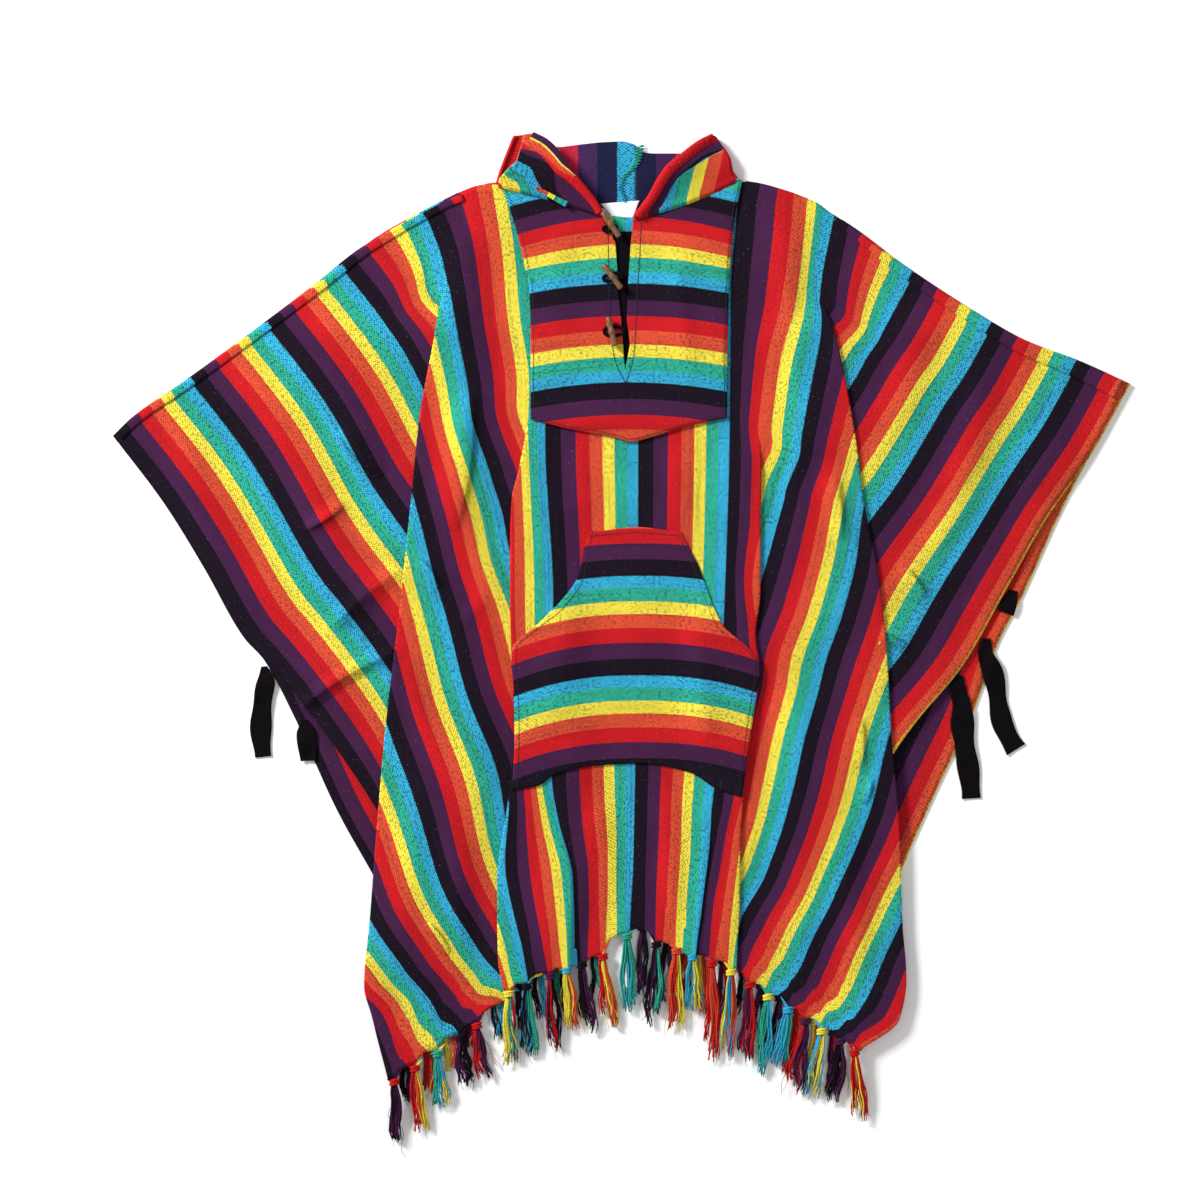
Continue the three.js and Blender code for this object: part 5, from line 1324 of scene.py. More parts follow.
black_tape = plain_weave("black tape", linear(7, 4, 7), linear(22, 17, 22))
white_label = plain_weave("white label", linear(236, 238, 242), linear(250, 250, 252), thread=0.0006,
                          rib=0.3)
RIBBON = ("x", "y", "z", "width")
TAPE_GAP, SWAY, LIFT, LIFT_AT, LIFT_LONG = 0.3, 16, 20, 34, 26
ON_BACK, ON_FLOOR = WALL + TAPE_GAP + TAPE / 2, TAPE_GAP + TAPE / 2


def ribbon_grid(rows, steps=70, columns=11, curl=0.6, wobble=0.10):
    """A flat ribbon along a path, with curled edges and, near its start, a lifted side."""
    along = np.concatenate([[0], np.cumsum(np.hypot(np.diff(rows["x"]), np.diff(rows["y"])))])
    path = dict(rows, s=along)
    s = np.linspace(0, along[-1], steps)
    x, y, z, width = (read(path, "s", c, s) for c in RIBBON)
    width = width * (1 + wobble * np.sin(s / 9.0 + x[0]))
    x = x + SWAY * wobble * np.sin(s / 21.0 + 0.7 * x[0]) * ease(0, 20, s)
    tangent = np.stack([np.gradient(x), np.gradient(y)], -1)
    tangent /= np.linalg.norm(tangent, axis=1, keepdims=True)
    k = np.linspace(-0.5, 0.5, columns)
    px = x[:, None] - tangent[:, 1:2] * width[:, None] * k
    py = y[:, None] + tangent[:, 0:1] * width[:, None] * k
    pz = z[:, None] + curl * (2 * k) ** 2 * (0.5 + 0.5 * np.sin(s[:, None] / 17 + 2 * k))
    lifted = np.exp(-((s[:, None] - LIFT_AT) / LIFT_LONG) ** 2)
    pz = pz + LIFT * wobble * (0.5 + 0.5 * np.sin(s[:, None] / 8.0 + 3 * k + x[0])) * lifted
    points = np.stack([px, py, pz], -1)
    return points, width[:, None] * (k + 0.5) / REPEAT, s[:, None] + 0 * k


def ribbon(name, rows, **shape):
    points, run, length = ribbon_grid(rows, **shape)
    return cloth_shell(name, points, run, length, TAPE, black_tape)


print("tape", TAPE, "mm thick")

# %% [markdown]
# The ties are as long as they show in the picture, each on its own path. The underlap closes the slit
# of the yoke from below and lies on the front panel.

# %% Ties and underlap
TIES = {
    "tie_left_long": [(-447, -31, ON_BACK, 8), (-446, -48, ON_BACK, 20), (-448, -66, ON_BACK, 23),
                      (-449, -90, ON_FLOOR, 26), (-450, -117, ON_FLOOR, 24), (-449, -144, ON_FLOOR, 22)],
    "tie_left_short": [(-397, -98, ON_BACK, 9), (-394, -113, ON_BACK, 22), (-393, -132, ON_BACK, 23),
                       (-393, -149, ON_BACK, 22)],
    "tie_right_tab": [(489, 64, ON_BACK, 12), (485, 50, ON_BACK, 18), (480, 36, ON_BACK, 21)],
    "tie_right_long": [(422, -42, ON_BACK, 9), (418, -58, ON_BACK, 20), (423, -80, ON_BACK, 25),
                       (425, -102, ON_BACK, 27), (430, -132, ON_BACK, 27), (434, -164, ON_FLOOR, 25),
                       (435, -196, ON_FLOOR, 25)],
    "tie_right_slant": [(455, 4, ON_BACK, 10), (455, -12, ON_BACK, 20), (462, -36, ON_BACK, 24),
                        (465, -50, ON_BACK, 24), (469, -78, ON_FLOOR, 24), (474, -98, ON_FLOOR, 24),
                        (485, -120, ON_FLOOR, 26), (494, -135, ON_FLOOR, 27)],
}
ties = {name: ribbon(f"{name}_tape", table(RIBBON, rows)) for name, rows in TIES.items()}
UNDERLAP, UNDERLAP_GAP = ("x", "y", "width"), 0.5
underlap_path = table(UNDERLAP, [
    (1, 512, 24), (2, 480, 24), (3, 440, 24), (4, 415, 23), (4, 395, 22), (5, 378, 20), (5, 362, 18),
    (4, 346, 16),
])
underlap_path["z"] = front_top(underlap_path["x"], underlap_path["y"]) + UNDERLAP_GAP + TAPE / 2
underlap = ribbon("slit_underlap_tape", underlap_path, curl=0.2, wobble=0.0)
print("tapes", len(ties) + 1)

# %% [markdown]
# At the left end of the collar a short strip of the seam allowance shows between the hood and the yoke.
# It is cut across the stripes, so their colours follow each other along it.

# %% Strip in the collar seam
STRIP_WALL = 1.2
STRIP_RUNS = [0.36, 0.52, 0.60, 0.70, 0.78, 0.86, 0.95]
strip_rows = table(RIBBON, [
    (-107, 566, 14.5, 3), (-96, 560, 14.5, 5), (-84, 553, 14.5, 6), (-69, 545, 14.5, 7.5),
])
strip_points, _, strip_length = ribbon_grid(strip_rows, steps=50, curl=0.3, wobble=0.0)
strip_run = np.interp(strip_length / strip_length.max(), np.linspace(0, 1, len(STRIP_RUNS)), STRIP_RUNS)
seam_strip = cloth_shell("hood_seam_strip_cloth", strip_points, strip_run, strip_length, STRIP_WALL,
                         hood_cotton)
print("strip in the collar seam", round(float(strip_length.max())), "mm long")

# %% [markdown]
# The seam that joins back and front is turned over the shoulder, so a narrow band of the back's cloth
# lies along the top of each wing. Its stripes go on from those of the wing, a little shifted.

# %% Shoulder bands
BAND, BAND_DOME, BAND_SHIFT = ("x", "width"), 0.5, 0.03
BANDS = {
    "left": table(BAND, [(-632, 11), (-300, 11), (-262, 10), (-200, 10)]),
    "right": table(BAND, [(268, 8), (330, 12), (400, 15), (480, 18), (560, 22), (626, 25)]),
}


def band_grid(widths, steps=120, columns=8):
    """A band along the shoulder: its places, stripe count and length coordinate."""
    x = np.linspace(widths["x"][0], widths["x"][-1], steps)
    slope = shoulder_slope(x)
    size = np.hypot(slope, 1)
    down = np.stack([slope / size, -1 / size], -1)
    width = read(widths, "x", "width", x)
    k = np.linspace(0, 1, columns)[:, None]
    reach = 1 + (width - 1) * k
    px = x + down[:, 0] * reach
    py = read(shoulder, "x", "y", x) + down[:, 1] * reach
    pz = front_base(px, py) + WALL / 2 + GAP + TAPE / 2 + BAND_DOME * np.sin(math.pi * k)
    run = wing_run(front_panel_plan, 0 if widths["x"][0] < 0 else 4, px, py)
    return np.stack([px, py, pz], -1), run + BAND_SHIFT * np.sign(widths["x"][0]), reach


bands = {side_name: cloth_shell(f"shoulder_band_{side_name}_cloth", *band_grid(widths), TAPE, cotton)
         for side_name, widths in BANDS.items()}
print("bands", len(bands))

# %% [markdown]
# The label in the neck is a small plain piece of white weave, sewn on at its top edge. It stays bare.

# %% Neck label
LABEL_WALL, LABEL_WAVE = 1.0, 0.5
label_corners = np.array([[(-27, 547), (22, 551)], [(-12, 531), (14, 529)]], float)
u, v = np.meshgrid(np.linspace(0, 1, 24), np.linspace(0, 1, 12))
label_xy = sum(label_corners[row, column] * (across * down)[..., None]
               for row, down in ((0, 1 - v), (1, v)) for column, across in ((0, 1 - u), (1, u)))
label_z = WALL + GAP + LABEL_WALL / 2 + LABEL_WAVE * (1 + np.sin(7 * u + 2 * v)) * v
label = cloth_shell("neck_label_cloth", np.dstack([label_xy, label_z]), u * 0.3, v * 20, LABEL_WALL,
                    white_label)
print("label points", label_z.shape)

# %% [markdown]
# Yarn, cord and bamboo are all round in section. A heap collects tubes along paths and lumpy balls for
# knots, and turns them into one mesh, with the stripe count in the same UV map as on the cloth.

# %% Tubes and balls
class YarnHeap:
    """Collects tubes and balls of yarn, and turns them into one mesh."""

    def __init__(self):
        self.vertices, self.faces, self.uvs, self.count = [], [], [], 0

    def grid(self, points, uvs, wrap_ends, close_path=False):
        rows, columns = points.shape[:2]
        index = self.count + np.arange(rows * columns).reshape(rows, columns)
        ahead = np.roll(index, -1, axis=1)
        last = rows if close_path else rows - 1
        below = np.roll(index, -1, axis=0)
        below_ahead = np.roll(ahead, -1, axis=0)
        quads = np.stack([part[:last] for part in (index, ahead, below_ahead, below)], -1).reshape(-1, 4)
        self.faces += quads.tolist()
        if wrap_ends and not close_path:
            self.faces += [index[0][::-1].tolist(), index[-1].tolist()]
        self.vertices.append(points.reshape(-1, 3))
        self.uvs.append(uvs.reshape(-1, 2))
        self.count += rows * columns

    def tube(self, path, sides=4, closed=False):
        path = np.asarray(path, float)
        centre, radius, run = path[:, :3], path[:, 3], path[:, 4]
        if closed:
            tangent = np.roll(centre, -1, axis=0) - np.roll(centre, 1, axis=0)
        else:
            tangent = np.gradient(centre, axis=0)
        tangent /= np.maximum(np.linalg.norm(tangent, axis=1, keepdims=True), 1e-9)
        upright = np.where(np.abs(tangent[:, 2:]) < 0.9, [[0.0, 0.0, 1.0]], [[1.0, 0.0, 0.0]])
        side = np.cross(tangent, upright)
        side /= np.linalg.norm(side, axis=1, keepdims=True)
        top = np.cross(side, tangent)
        angle = np.linspace(0, 2 * math.pi, sides, endpoint=False)
        ring = side[:, None] * np.cos(angle)[None, :, None] + top[:, None] * np.sin(angle)[None, :, None]
        points = centre[:, None] + ring * radius[:, None, None]
        step = np.concatenate([[0], np.cumsum(np.linalg.norm(np.diff(centre, axis=0), axis=1))])
        uvs = np.stack([run[:, None] + 0.012 * np.cos(angle)[None], step[:, None] * MM + 0 * angle[None]],
                       -1)
        self.grid(points, uvs, True, closed)

    def ball(self, centre, size, run, rng, rows=9, columns=12):
        phi = np.linspace(0.12, math.pi - 0.12, rows)[:, None]
        theta = np.linspace(0, 2 * math.pi, columns, endpoint=False)[None, :]
        lump = 1 + 0.12 * np.sin(3 * theta + 5 * phi + rng.uniform(0, 6)) * np.sin(phi)
        points = np.stack([np.sin(phi) * np.cos(theta) * lump * size[0] / 2,
                           -np.cos(phi) * size[1] / 2 + 0 * theta,
                           -np.sin(phi) * np.sin(theta) * lump * size[2] / 2], -1) + np.asarray(centre)
        uvs = np.stack([run + 0.02 * np.sin(2 * theta) + 0 * phi, phi * size[1] * MM + 0 * theta], -1)
        self.grid(points, uvs, True)

    def piece(self, name, material):
        vertices = np.concatenate(self.vertices) * MM
        item = mesh_object(name, vertices.tolist(), self.faces, material)
        set_uv(item, np.concatenate(self.uvs))
        item.data.shade_smooth()
        return item


def tube_mesh(name, path, material, sides, closed=False):
    """One tube along a path of (x, y, z, radius, run), as a mesh with a UV map."""
    heap = YarnHeap()
    heap.tube(path, sides=sides, closed=closed)
    return heap.piece(name, material)


print("yarn makes tubes and balls")

# %% [markdown]
# The seam down the back of the hood is overcast: one thread runs to and fro over the two cut edges. It
# is a tube on a wavy path, with many close turns, green at the top and blue below as in the picture.

# %% Overcast seam of the hood
SEAM = table(("y", "x", "reach"), [
    (620, 23, 5.0), (602, 19, 5.0), (592, 14, 4.0), (583, 3, 3.2), (567, -2, 3.0), (549, 4, 2.6),
])
SEAM_TURNS, SEAM_RADIUS, SEAM_HEIGHT, SEAM_DOME, GREEN_ABOVE = 120, 0.85, WALL + 1.2, 0.5, 577
seam_t = np.linspace(0, 1, 220)
seam_y = mix(SEAM["y"][0], SEAM["y"][-1], seam_t)
seam_path = np.column_stack([
    read(SEAM, "y", "x", seam_y) + read(SEAM, "y", "reach", seam_y) * np.sin(seam_t * SEAM_TURNS), seam_y,
    SEAM_HEIGHT + SEAM_DOME * np.cos(seam_t * SEAM_TURNS), SEAM_RADIUS + 0 * seam_t,
    np.where(seam_y > GREEN_ABOVE, GREEN, BLUE),
])
seam_thread = tube_mesh("hood_seam_thread", seam_path, hood_cotton, sides=5)
print("seam of the hood", len(seam_thread.data.polygons), "faces")

# %% [markdown]
# The toggles are short lengths of thin bamboo with the raised node in the middle. A lathe profile gives
# the swelling of the node and the rounded ends, and the streaks of the fibres run along the toggle.

# %% Bamboo
def bamboo_material():
    material, tree, shader, place = new_finish("bamboo", roughness=0.42)
    calc = math_in(tree)

    def noise(around, along, detail):
        stretched = add(tree, "CombineXYZ", {0: calc("MULTIPLY", place.outputs["X"], around),
                                             1: calc("MULTIPLY", place.outputs["Y"], along)})
        return add(tree, "TexNoise",
                   {"Vector": stretched.outputs[0], "Scale": 1.0, "Detail": detail}).outputs["Fac"]

    streaks, blotches = noise(26.0, 90.0, 4.0), noise(4.0, 160.0, 2.0)
    both = calc("MULTIPLY_ADD", streaks, 0.6, calc("MULTIPLY", blotches, 0.5))
    browns = [(0.30, linear(38, 20, 16)), (0.52, linear(94, 56, 36)), (0.74, linear(176, 130, 84))]
    colour = ramp(tree, both, browns, "LINEAR")
    tree.links.new(colour, shader.inputs["Base Color"])
    bump = add(tree, "Bump", {"Height": streaks, "Strength": 0.35, "Distance": 0.0004})
    tree.links.new(bump.outputs[0], shader.inputs["Normal"])
    return material


bamboo = bamboo_material()
print("finish", bamboo.name)

# %% [markdown]
# Each toggle lies on the yoke across its loop. The loops are closed rings of black cord, a little
# squared, and seated on the yoke with a small gap, so that nothing sinks in.

# %% Toggles and their loops
TOGGLES = table(("x", "y", "turn", "loop_x", "loop_y", "loop_wide", "loop_high"), [
    (-14, 520, 35, -19, 515, 9, 7), (-12, 455, 37, -16, 454, 12, 8), (-13, 386, 14, -14, 387, 13, 9),
])
LOOP_RISE, CORD_RADIUS, TOGGLE_RISE, TOGGLE_GIRTH = 1.3, 2.0, 3.7, 1.06
LOOP_SHIFT, LOOP_LEAN, LOOP_GAP, LOOP_WAVE = 4.0, 0.25, 0.4, 0.15
toggle_profile = table(("at", "radius"), [
    (-18.5, 0.05), (-18.45, 1.8), (-18.3, 2.9), (-17.6, 3.4), (-16, 3.6), (-9, 3.3), (-3.2, 3.4),
    (-1.9, 3.8), (-1.1, 4.2), (-0.3, 3.7), (0.5, 4.1), (1.6, 3.9), (3.0, 3.5), (9, 3.4), (15.6, 3.65),
    (17.6, 3.4), (18.3, 2.9), (18.45, 1.8), (18.5, 0.05),
])


def yoke_top(x, y):
    return front_top(np.array(float(x)), np.array(float(y))) + YOKE_LIFT + WALL / 2


black_cord = plain_weave("black cord", linear(8, 6, 9), linear(30, 25, 31), thread=0.0007, rib=0.8)
toggle_pieces, loop_pieces = [], []
for n in range(len(TOGGLES["x"])):
    row = {c: float(TOGGLES[c][n]) for c in TOGGLES}
    seat = float(yoke_top(row["loop_x"], row["loop_y"])) + GAP
    turn = math.radians(row["turn"])
    axis = np.array([-math.sin(turn), math.cos(turn), 0])
    at, radius = toggle_profile["at"], toggle_profile["radius"]
    centre = np.array([row["x"], row["y"], seat + 2 * LOOP_RISE + TOGGLE_RISE])
    path = np.column_stack([centre + axis * at[:, None], radius * TOGGLE_GIRTH, np.full(len(at), 0.0)])
    toggle = tube_mesh(f"toggle_{n + 1}_bamboo", path, bamboo, sides=24)
    around = np.linspace(0, 1, len(toggle.data.vertices) // len(at), endpoint=False)
    toggle.data.uv_layers.remove(toggle.data.uv_layers["cloth"])
    set_uv(toggle, np.stack([np.tile(around * 6, len(at)), np.repeat(at * MM, len(around))], -1))
    toggle_pieces.append(toggle)
    angle = np.linspace(0, 2 * math.pi, 56, endpoint=False)
    tilt = turn * LOOP_LEAN
    long = row["loop_wide"] - 0.5
    squared = np.sign(np.cos(angle)) * np.abs(np.cos(angle)) ** 0.7
    lx, ly = long * squared + LOOP_SHIFT, (row["loop_high"] - 3.4) * np.sin(angle)
    loop_path = np.column_stack([
        row["loop_x"] + lx * math.cos(tilt) - ly * math.sin(tilt),
        row["loop_y"] + lx * math.sin(tilt) + ly * math.cos(tilt),
        seat + LOOP_RISE + LOOP_GAP + LOOP_WAVE * np.sin(5 * angle),
        CORD_RADIUS * (1 + 0.07 * np.sin(22 * angle)), 0.1 + 0 * angle,
    ])
    loop_pieces.append(tube_mesh(f"toggle_loop_{n + 1}_cord", loop_path, black_cord, sides=10,
                                 closed=True))
print("toggles", len(toggle_pieces), "loops", len(loop_pieces))

# %% [markdown]
# The fringe is the cloth's own warp: at the hem the ends of the yarns are gathered, tied in a knot and
# left loose below it. Each tassel takes the colours of the yarns at its place. The back hem has its own
# row, which shows darker between the tassels of the front.

# %% Tables of the fringe
FRONT_TASSELS = {  # x of the knot, x of the tip, length, colour of the knot, colours of the strands
    "left": [
        (-284, -281, 88, RED, (PURPLE, BLACK, PURPLE)), (-258, -250, 78, RED, (RED, ORANGE, YELLOW)),
        (-230, -227, 72, GREEN, (GREEN, BLUE, YELLOW)), (-201, -194, 62, BLACK, (PURPLE, BLACK)),
        (-181, -172, 68, RED, (RED, PURPLE)),
    ],
    "middle": [
        (-141, -137, 92, YELLOW, (YELLOW, GREEN, RED)), (-119, -115, 96, BLACK, (BLACK, BLUE, GREEN)),
        (-89, -82, 98, PURPLE, (PURPLE, RED, BLACK)), (-69, -63, 78, BLUE, (YELLOW, YELLOW, ORANGE)),
        (-50, -42, 84, BLACK, (BLACK, PURPLE)), (-24, -14, 88, RED, (RED, YELLOW, ORANGE)),
        (6, 11, 92, GREEN, (GREEN, BLUE, GREEN)), (43, 41, 104, BLACK, (BLACK, PURPLE, GREEN)),
        (68, 64, 102, ORANGE, (ORANGE, RED, YELLOW)), (88, 88, 76, BLUE, (BLUE, YELLOW)),
        (112, 114, 122, RED, (RED, ORANGE, RED)), (136, 134, 110, YELLOW, (YELLOW, BLUE, ORANGE)),
    ],
    "right": [
        (159, 156, 104, RED, (RED, PURPLE, RED)), (182, 172, 100, YELLOW, (GREEN, GREEN, BLUE)),
        (207, 194, 74, BLUE, (BLUE, BLUE, GREEN)), (229, 214, 90, PURPLE, (RED, PURPLE)),
        (249, 234, 84, YELLOW, (BLUE, YELLOW)), (272, 264, 78, PURPLE, (BLACK, PURPLE)),
        (290, 297, 92, RED, (RED, YELLOW, RED)),
    ],
}
BACK_TASSELS = {  # x of the knot, x of the tip, length
    "left": [(-270, -268, 60), (-244, -238, 66), (-216, -212, 64), (-190, -188, 56), (-158, -153, 60)],
    "middle": [(-128, -126, 76), (-104, -102, 78), (-78, -76, 80), (-36, -32, 84), (26, 24, 88),
               (56, 54, 84), (78, 78, 82), (100, 101, 84), (126, 125, 88)],
    "right": [(152, 149, 60), (174, 170, 80), (197, 190, 76), (220, 212, 80), (242, 240, 72),
              (264, 264, 72)],
}
BACK_COLOURS = ((BLACK, PURPLE), (PURPLE, RED), (BLACK, GREEN), (RED, ORANGE), (BLACK, BLUE),
                (PURPLE, BLACK), (YELLOW, ORANGE), (GREEN, BLACK))
print("tassels in front", sum(map(len, FRONT_TASSELS.values())), "behind",
      sum(map(len, BACK_TASSELS.values())))

# %% [markdown]
# One tassel is a fan of gathered yarns above, a lumpy knot with three coils round it, and locks of
# loose strands below. The strands of a lock sway together, and each has its own crimp, thickness and
# length. All draws come from seeded generators, so the fringe is the same every time.

# %% One tassel
KNOT_AWAY, KNOT_WIDTH, KNOT_LONG, KNOT_TALL = 3.4, 12.0, 9.5, 9.0
GATHERED, GATHER_HALF, LOOSE_STRANDS = 11, 9, 5
FULL_TASSEL, TIP_SPREAD, OUTER_SPREAD, OUTER_X = 33, 8.5, 3.0, FRONT_TASSELS["left"][0][0]


def hem_of(grid, plan, lane, pitch_allowance=0.05):
    """The hem of one lane, as a table of x, y and z."""
    ring = grid[-1]
    height = lane_height(plan, lane, ring[:, 0], ring[:, 1])
    keep = np.abs(ring[:, 2] - height) < pitch_allowance
    ring = ring[keep][np.argsort(ring[keep][:, 0])]
    return dict(x=ring[:, 0], y=ring[:, 1], z=ring[:, 2])


def hang_tassel(heap, x, tip_x, length, knot_run, strand_runs, hem, rest, ceiling, rng,
                strands=FULL_TASSEL):
    """Adds one tassel to the heap, between the heights rest and ceiling."""
    hem_y = float(min(np.interp(x + dx, hem["x"], hem["y"]) for dx in (-3, 0, 3)))
    hem_z = float(np.interp(x, hem["x"], hem["z"]))
    tall = min(KNOT_TALL, ceiling - rest)
    z = float(np.clip(hem_z, rest + tall / 2, ceiling - tall / 2))
    knot = np.array([x, hem_y - KNOT_AWAY, z])
    for gather in np.linspace(-1, 1, GATHERED):
        gx = x + gather * GATHER_HALF
        gy, gz = float(np.interp(gx, hem["x"], hem["y"])), float(np.interp(gx, hem["x"], hem["z"]))
        start = np.array([gx, gy + 0.6, min(gz, ceiling - 0.9)])
        t = np.linspace(0, 1, 4)[:, None]
        points = mix(start, knot, t)
        run = strand_runs[int((gather * 0.49 + 0.5) * len(strand_runs))]
        heap.tube(np.column_stack([points, np.linspace(0.75, 1.15, 4), np.full(4, run)]), sides=5)
    heap.ball(knot, (KNOT_WIDTH, KNOT_LONG, tall), knot_run, rng)
    for coil, lean in ((-2.4, 0.9), (0.2, -0.8), (2.6, 1.1)):
        angle = np.linspace(0, 2 * math.pi, 16, endpoint=False)
        ring = np.column_stack([knot[0] + KNOT_WIDTH / 2 * 0.96 * np.cos(angle),
                                knot[1] + coil + lean * np.cos(angle),
                                knot[2] + tall / 2 * 0.93 * np.sin(angle), np.full(16, 1.15),
                                np.full(16, knot_run)])
        ring[:, 2] = np.maximum(ring[:, 2], rest + 1.2)
        heap.tube(ring, sides=6, closed=True)
    t = np.linspace(0, 1, 14)
    locks = 3 if strands > 20 else 2
    for lock in range(locks):
        place = (lock + 0.5) / locks * 2 - 1
        lock_tip = tip_x + place * (OUTER_SPREAD if x == OUTER_X else TIP_SPREAD) + rng.normal(0, 1.5)
        lock_reach = length * rng.uniform(0.80, 1.02)
        sway = rng.uniform(1.5, 4.0) * rng.choice((-1, 1))
        phase, waves = rng.uniform(0, 6), rng.uniform(5, 8)
        for i in range(strands // locks):
            share = rng.uniform(-1, 1)
            reach = lock_reach * rng.uniform(0.86, 1.03)
            pick = (place * 0.5 + 0.5 + rng.normal(0, 0.16)) * len(strand_runs)
            chosen = int(np.clip(pick, 0, len(strand_runs) - 1e-6))
            run = float(strand_runs[chosen]) + rng.uniform(-0.02, 0.03)
            thick = rng.uniform(0.7, 1.15)
            crimp = rng.uniform(0.4, 1.6) * np.sin(t * rng.uniform(9, 20) + rng.uniform(0, 6)) * t**0.7
            centre = mix(knot[0] + place * 2.4, lock_tip, t**1.2) + place * 3.5 * np.sin(math.pi * t)
            px = centre + share * mix(1.6, 4.2, t) + crimp + sway * np.sin(waves * t + phase) * t
            py = mix(knot[1] - 1, knot[1] - reach, t) + 0.8 * np.sin(t * rng.uniform(8, 14)) * t
            low = rest + 1.2 + rng.uniform(0, 1) * 2.8
            high = z + rng.uniform(-1, 1) * (tall / 2 - 1.4)
            pz = mix(high, low, t**1.4) + 0.8 * np.sin(t * rng.uniform(5, 12)) * t
            radius = thick * (1 - 0.4 * t**4)
            pz = np.maximum(pz, rest + radius)
            heap.tube(np.column_stack([px, py, pz, radius, np.full(len(t), run)]), sides=4)
    for loose in range(LOOSE_STRANDS):
        run = float(rng.choice(strand_runs))
        reach = length * rng.uniform(0.5, 1.08)
        drift = mix(knot[0], tip_x + rng.normal(0, 9), t)
        px = drift + rng.uniform(2, 5) * np.sin(t * rng.uniform(6, 16) + loose) * t
        pz = np.maximum(mix(z, rest + rng.uniform(1, 4), t), rest + 0.4)
        heap.tube(np.column_stack([px, mix(knot[1], knot[1] - reach, t), pz, 0.34 + 0 * t, run + 0 * t]),
                  sides=3)


print("strands in a full tassel", FULL_TASSEL)

# %% [markdown]
# The tassels of the front hang from the three lanes of its hem and those of the back from its middle,
# close to the floor. Each group of tassels is one piece, as in the frame.

# %% The two rows of fringe
FRONT_REST, FRONT_CEILING, FRONT_SEED = 3.4, 30.0, 40
BACK_REST, BACK_CEILING, BACK_SEED, BACK_STRANDS = 0.3, 5.5, 90, 20
yarn_finish = striped_cotton("fringe yarn", fleck_amount=0.25, rib=0.9, darken=0.95)
front_hems = {"left": 1, "middle": 2, "right": 3}
fringe_pieces = {}
for side_name, lane in front_hems.items():
    hem = hem_of(front_grid, front_panel_plan, lane)
    rng, heap = np.random.default_rng(FRONT_SEED + lane), YarnHeap()
    for x, tip_x, length, knot_run, strand_runs in FRONT_TASSELS[side_name]:
        hang_tassel(heap, x, tip_x, length, knot_run, strand_runs, hem, FRONT_REST, FRONT_CEILING, rng)
    fringe_pieces["front_" + side_name] = heap.piece(f"fringe_front_{side_name}_yarn", yarn_finish)
back_hem = hem_of(back_grid, back_panel_plan, 1)
for n, (side_name, rows) in enumerate(BACK_TASSELS.items()):
    rng, heap = np.random.default_rng(BACK_SEED + n), YarnHeap()
    for i, (x, tip_x, length) in enumerate(rows):
        pair = BACK_COLOURS[(3 * i + n) % len(BACK_COLOURS)]
        hang_tassel(heap, x, tip_x, length, pair[0], pair, back_hem, BACK_REST, BACK_CEILING, rng,
                    BACK_STRANDS)
    fringe_pieces["back_" + side_name] = heap.piece(f"fringe_back_{side_name}_yarn", yarn_finish)
print("fringe faces", {name: len(piece.data.polygons) for name, piece in fringe_pieces.items()})

# %% [markdown]
# Sewing thread shows along the seams. One Geometry Nodes tree lays short stitches along any line: it
# spaces points evenly on the line, puts a small rounded stitch on each and turns it to the line. The
# lines are placed from the shape of each piece and laid down on the cloth below by a ray from above.

# %% Stitches
SPACING, STITCH_LENGTH, THREAD_RADIUS, RAY_FROM = 0.0044, 0.0031, 0.00042, 0.1
thread = simple_material("sewing thread", linear(24, 20, 30), roughness=0.8)


def stitch_tree():
    tree = bpy.data.node_groups.new("stitch row", "GeometryNodeTree")
    tree.interface.new_socket("Line", in_out="INPUT", socket_type="NodeSocketGeometry")
    for label, value in (("Spacing", SPACING), ("Stitch Length", STITCH_LENGTH),
                         ("Thread Radius", THREAD_RADIUS)):
        tree.interface.new_socket(label, in_out="INPUT",
                                  socket_type="NodeSocketFloat").default_value = value
    tree.interface.new_socket("Thread", in_out="INPUT", socket_type="NodeSocketMaterial")
    tree.interface.new_socket("Stitches", in_out="OUTPUT", socket_type="NodeSocketGeometry")
    inside, outside = tree.nodes.new("NodeGroupInput"), tree.nodes.new("NodeGroupOutput")

    def node(kind, **links):
        new = tree.nodes.new("GeometryNode" + kind)
        for label, socket in links.items():
            tree.links.new(socket, new.inputs[label.replace("_", " ")])
        return new

    curve = node("MeshToCurve", Mesh=inside.outputs["Line"])
    even = node("ResampleCurve", Curve=curve.outputs[0])
    even.mode = "LENGTH"
    tree.links.new(inside.outputs["Spacing"], even.inputs["Length"])
    tangent = node("InputTangent")
    turn = tree.nodes.new("FunctionNodeAlignEulerToVector")
    turn.axis = "Z"
    tree.links.new(tangent.outputs[0], turn.inputs["Vector"])
    stitch = node("MeshCylinder", Radius=inside.outputs["Thread Radius"],
                  Depth=inside.outputs["Stitch Length"])
    stitch.inputs["Vertices"].default_value = 6
    placed = node("InstanceOnPoints", Points=even.outputs[0], Instance=stitch.outputs[0],
                  Rotation=turn.outputs[0])
    real = node("RealizeInstances", Geometry=placed.outputs[0])
    painted = node("SetMaterial", Geometry=real.outputs[0], Material=inside.outputs["Thread"])
    tree.links.new(painted.outputs[0], outside.inputs[0])
    return tree


stitch_rows = stitch_tree()
print("stitch row inputs",
      [item.name for item in stitch_rows.interface.items_tree if item.in_out == "INPUT"])

# %% [markdown]
# Yoke, slit, pocket and shoulders are sewn close to their edges. A line of stitches breaks off where
# there is no cloth below it.

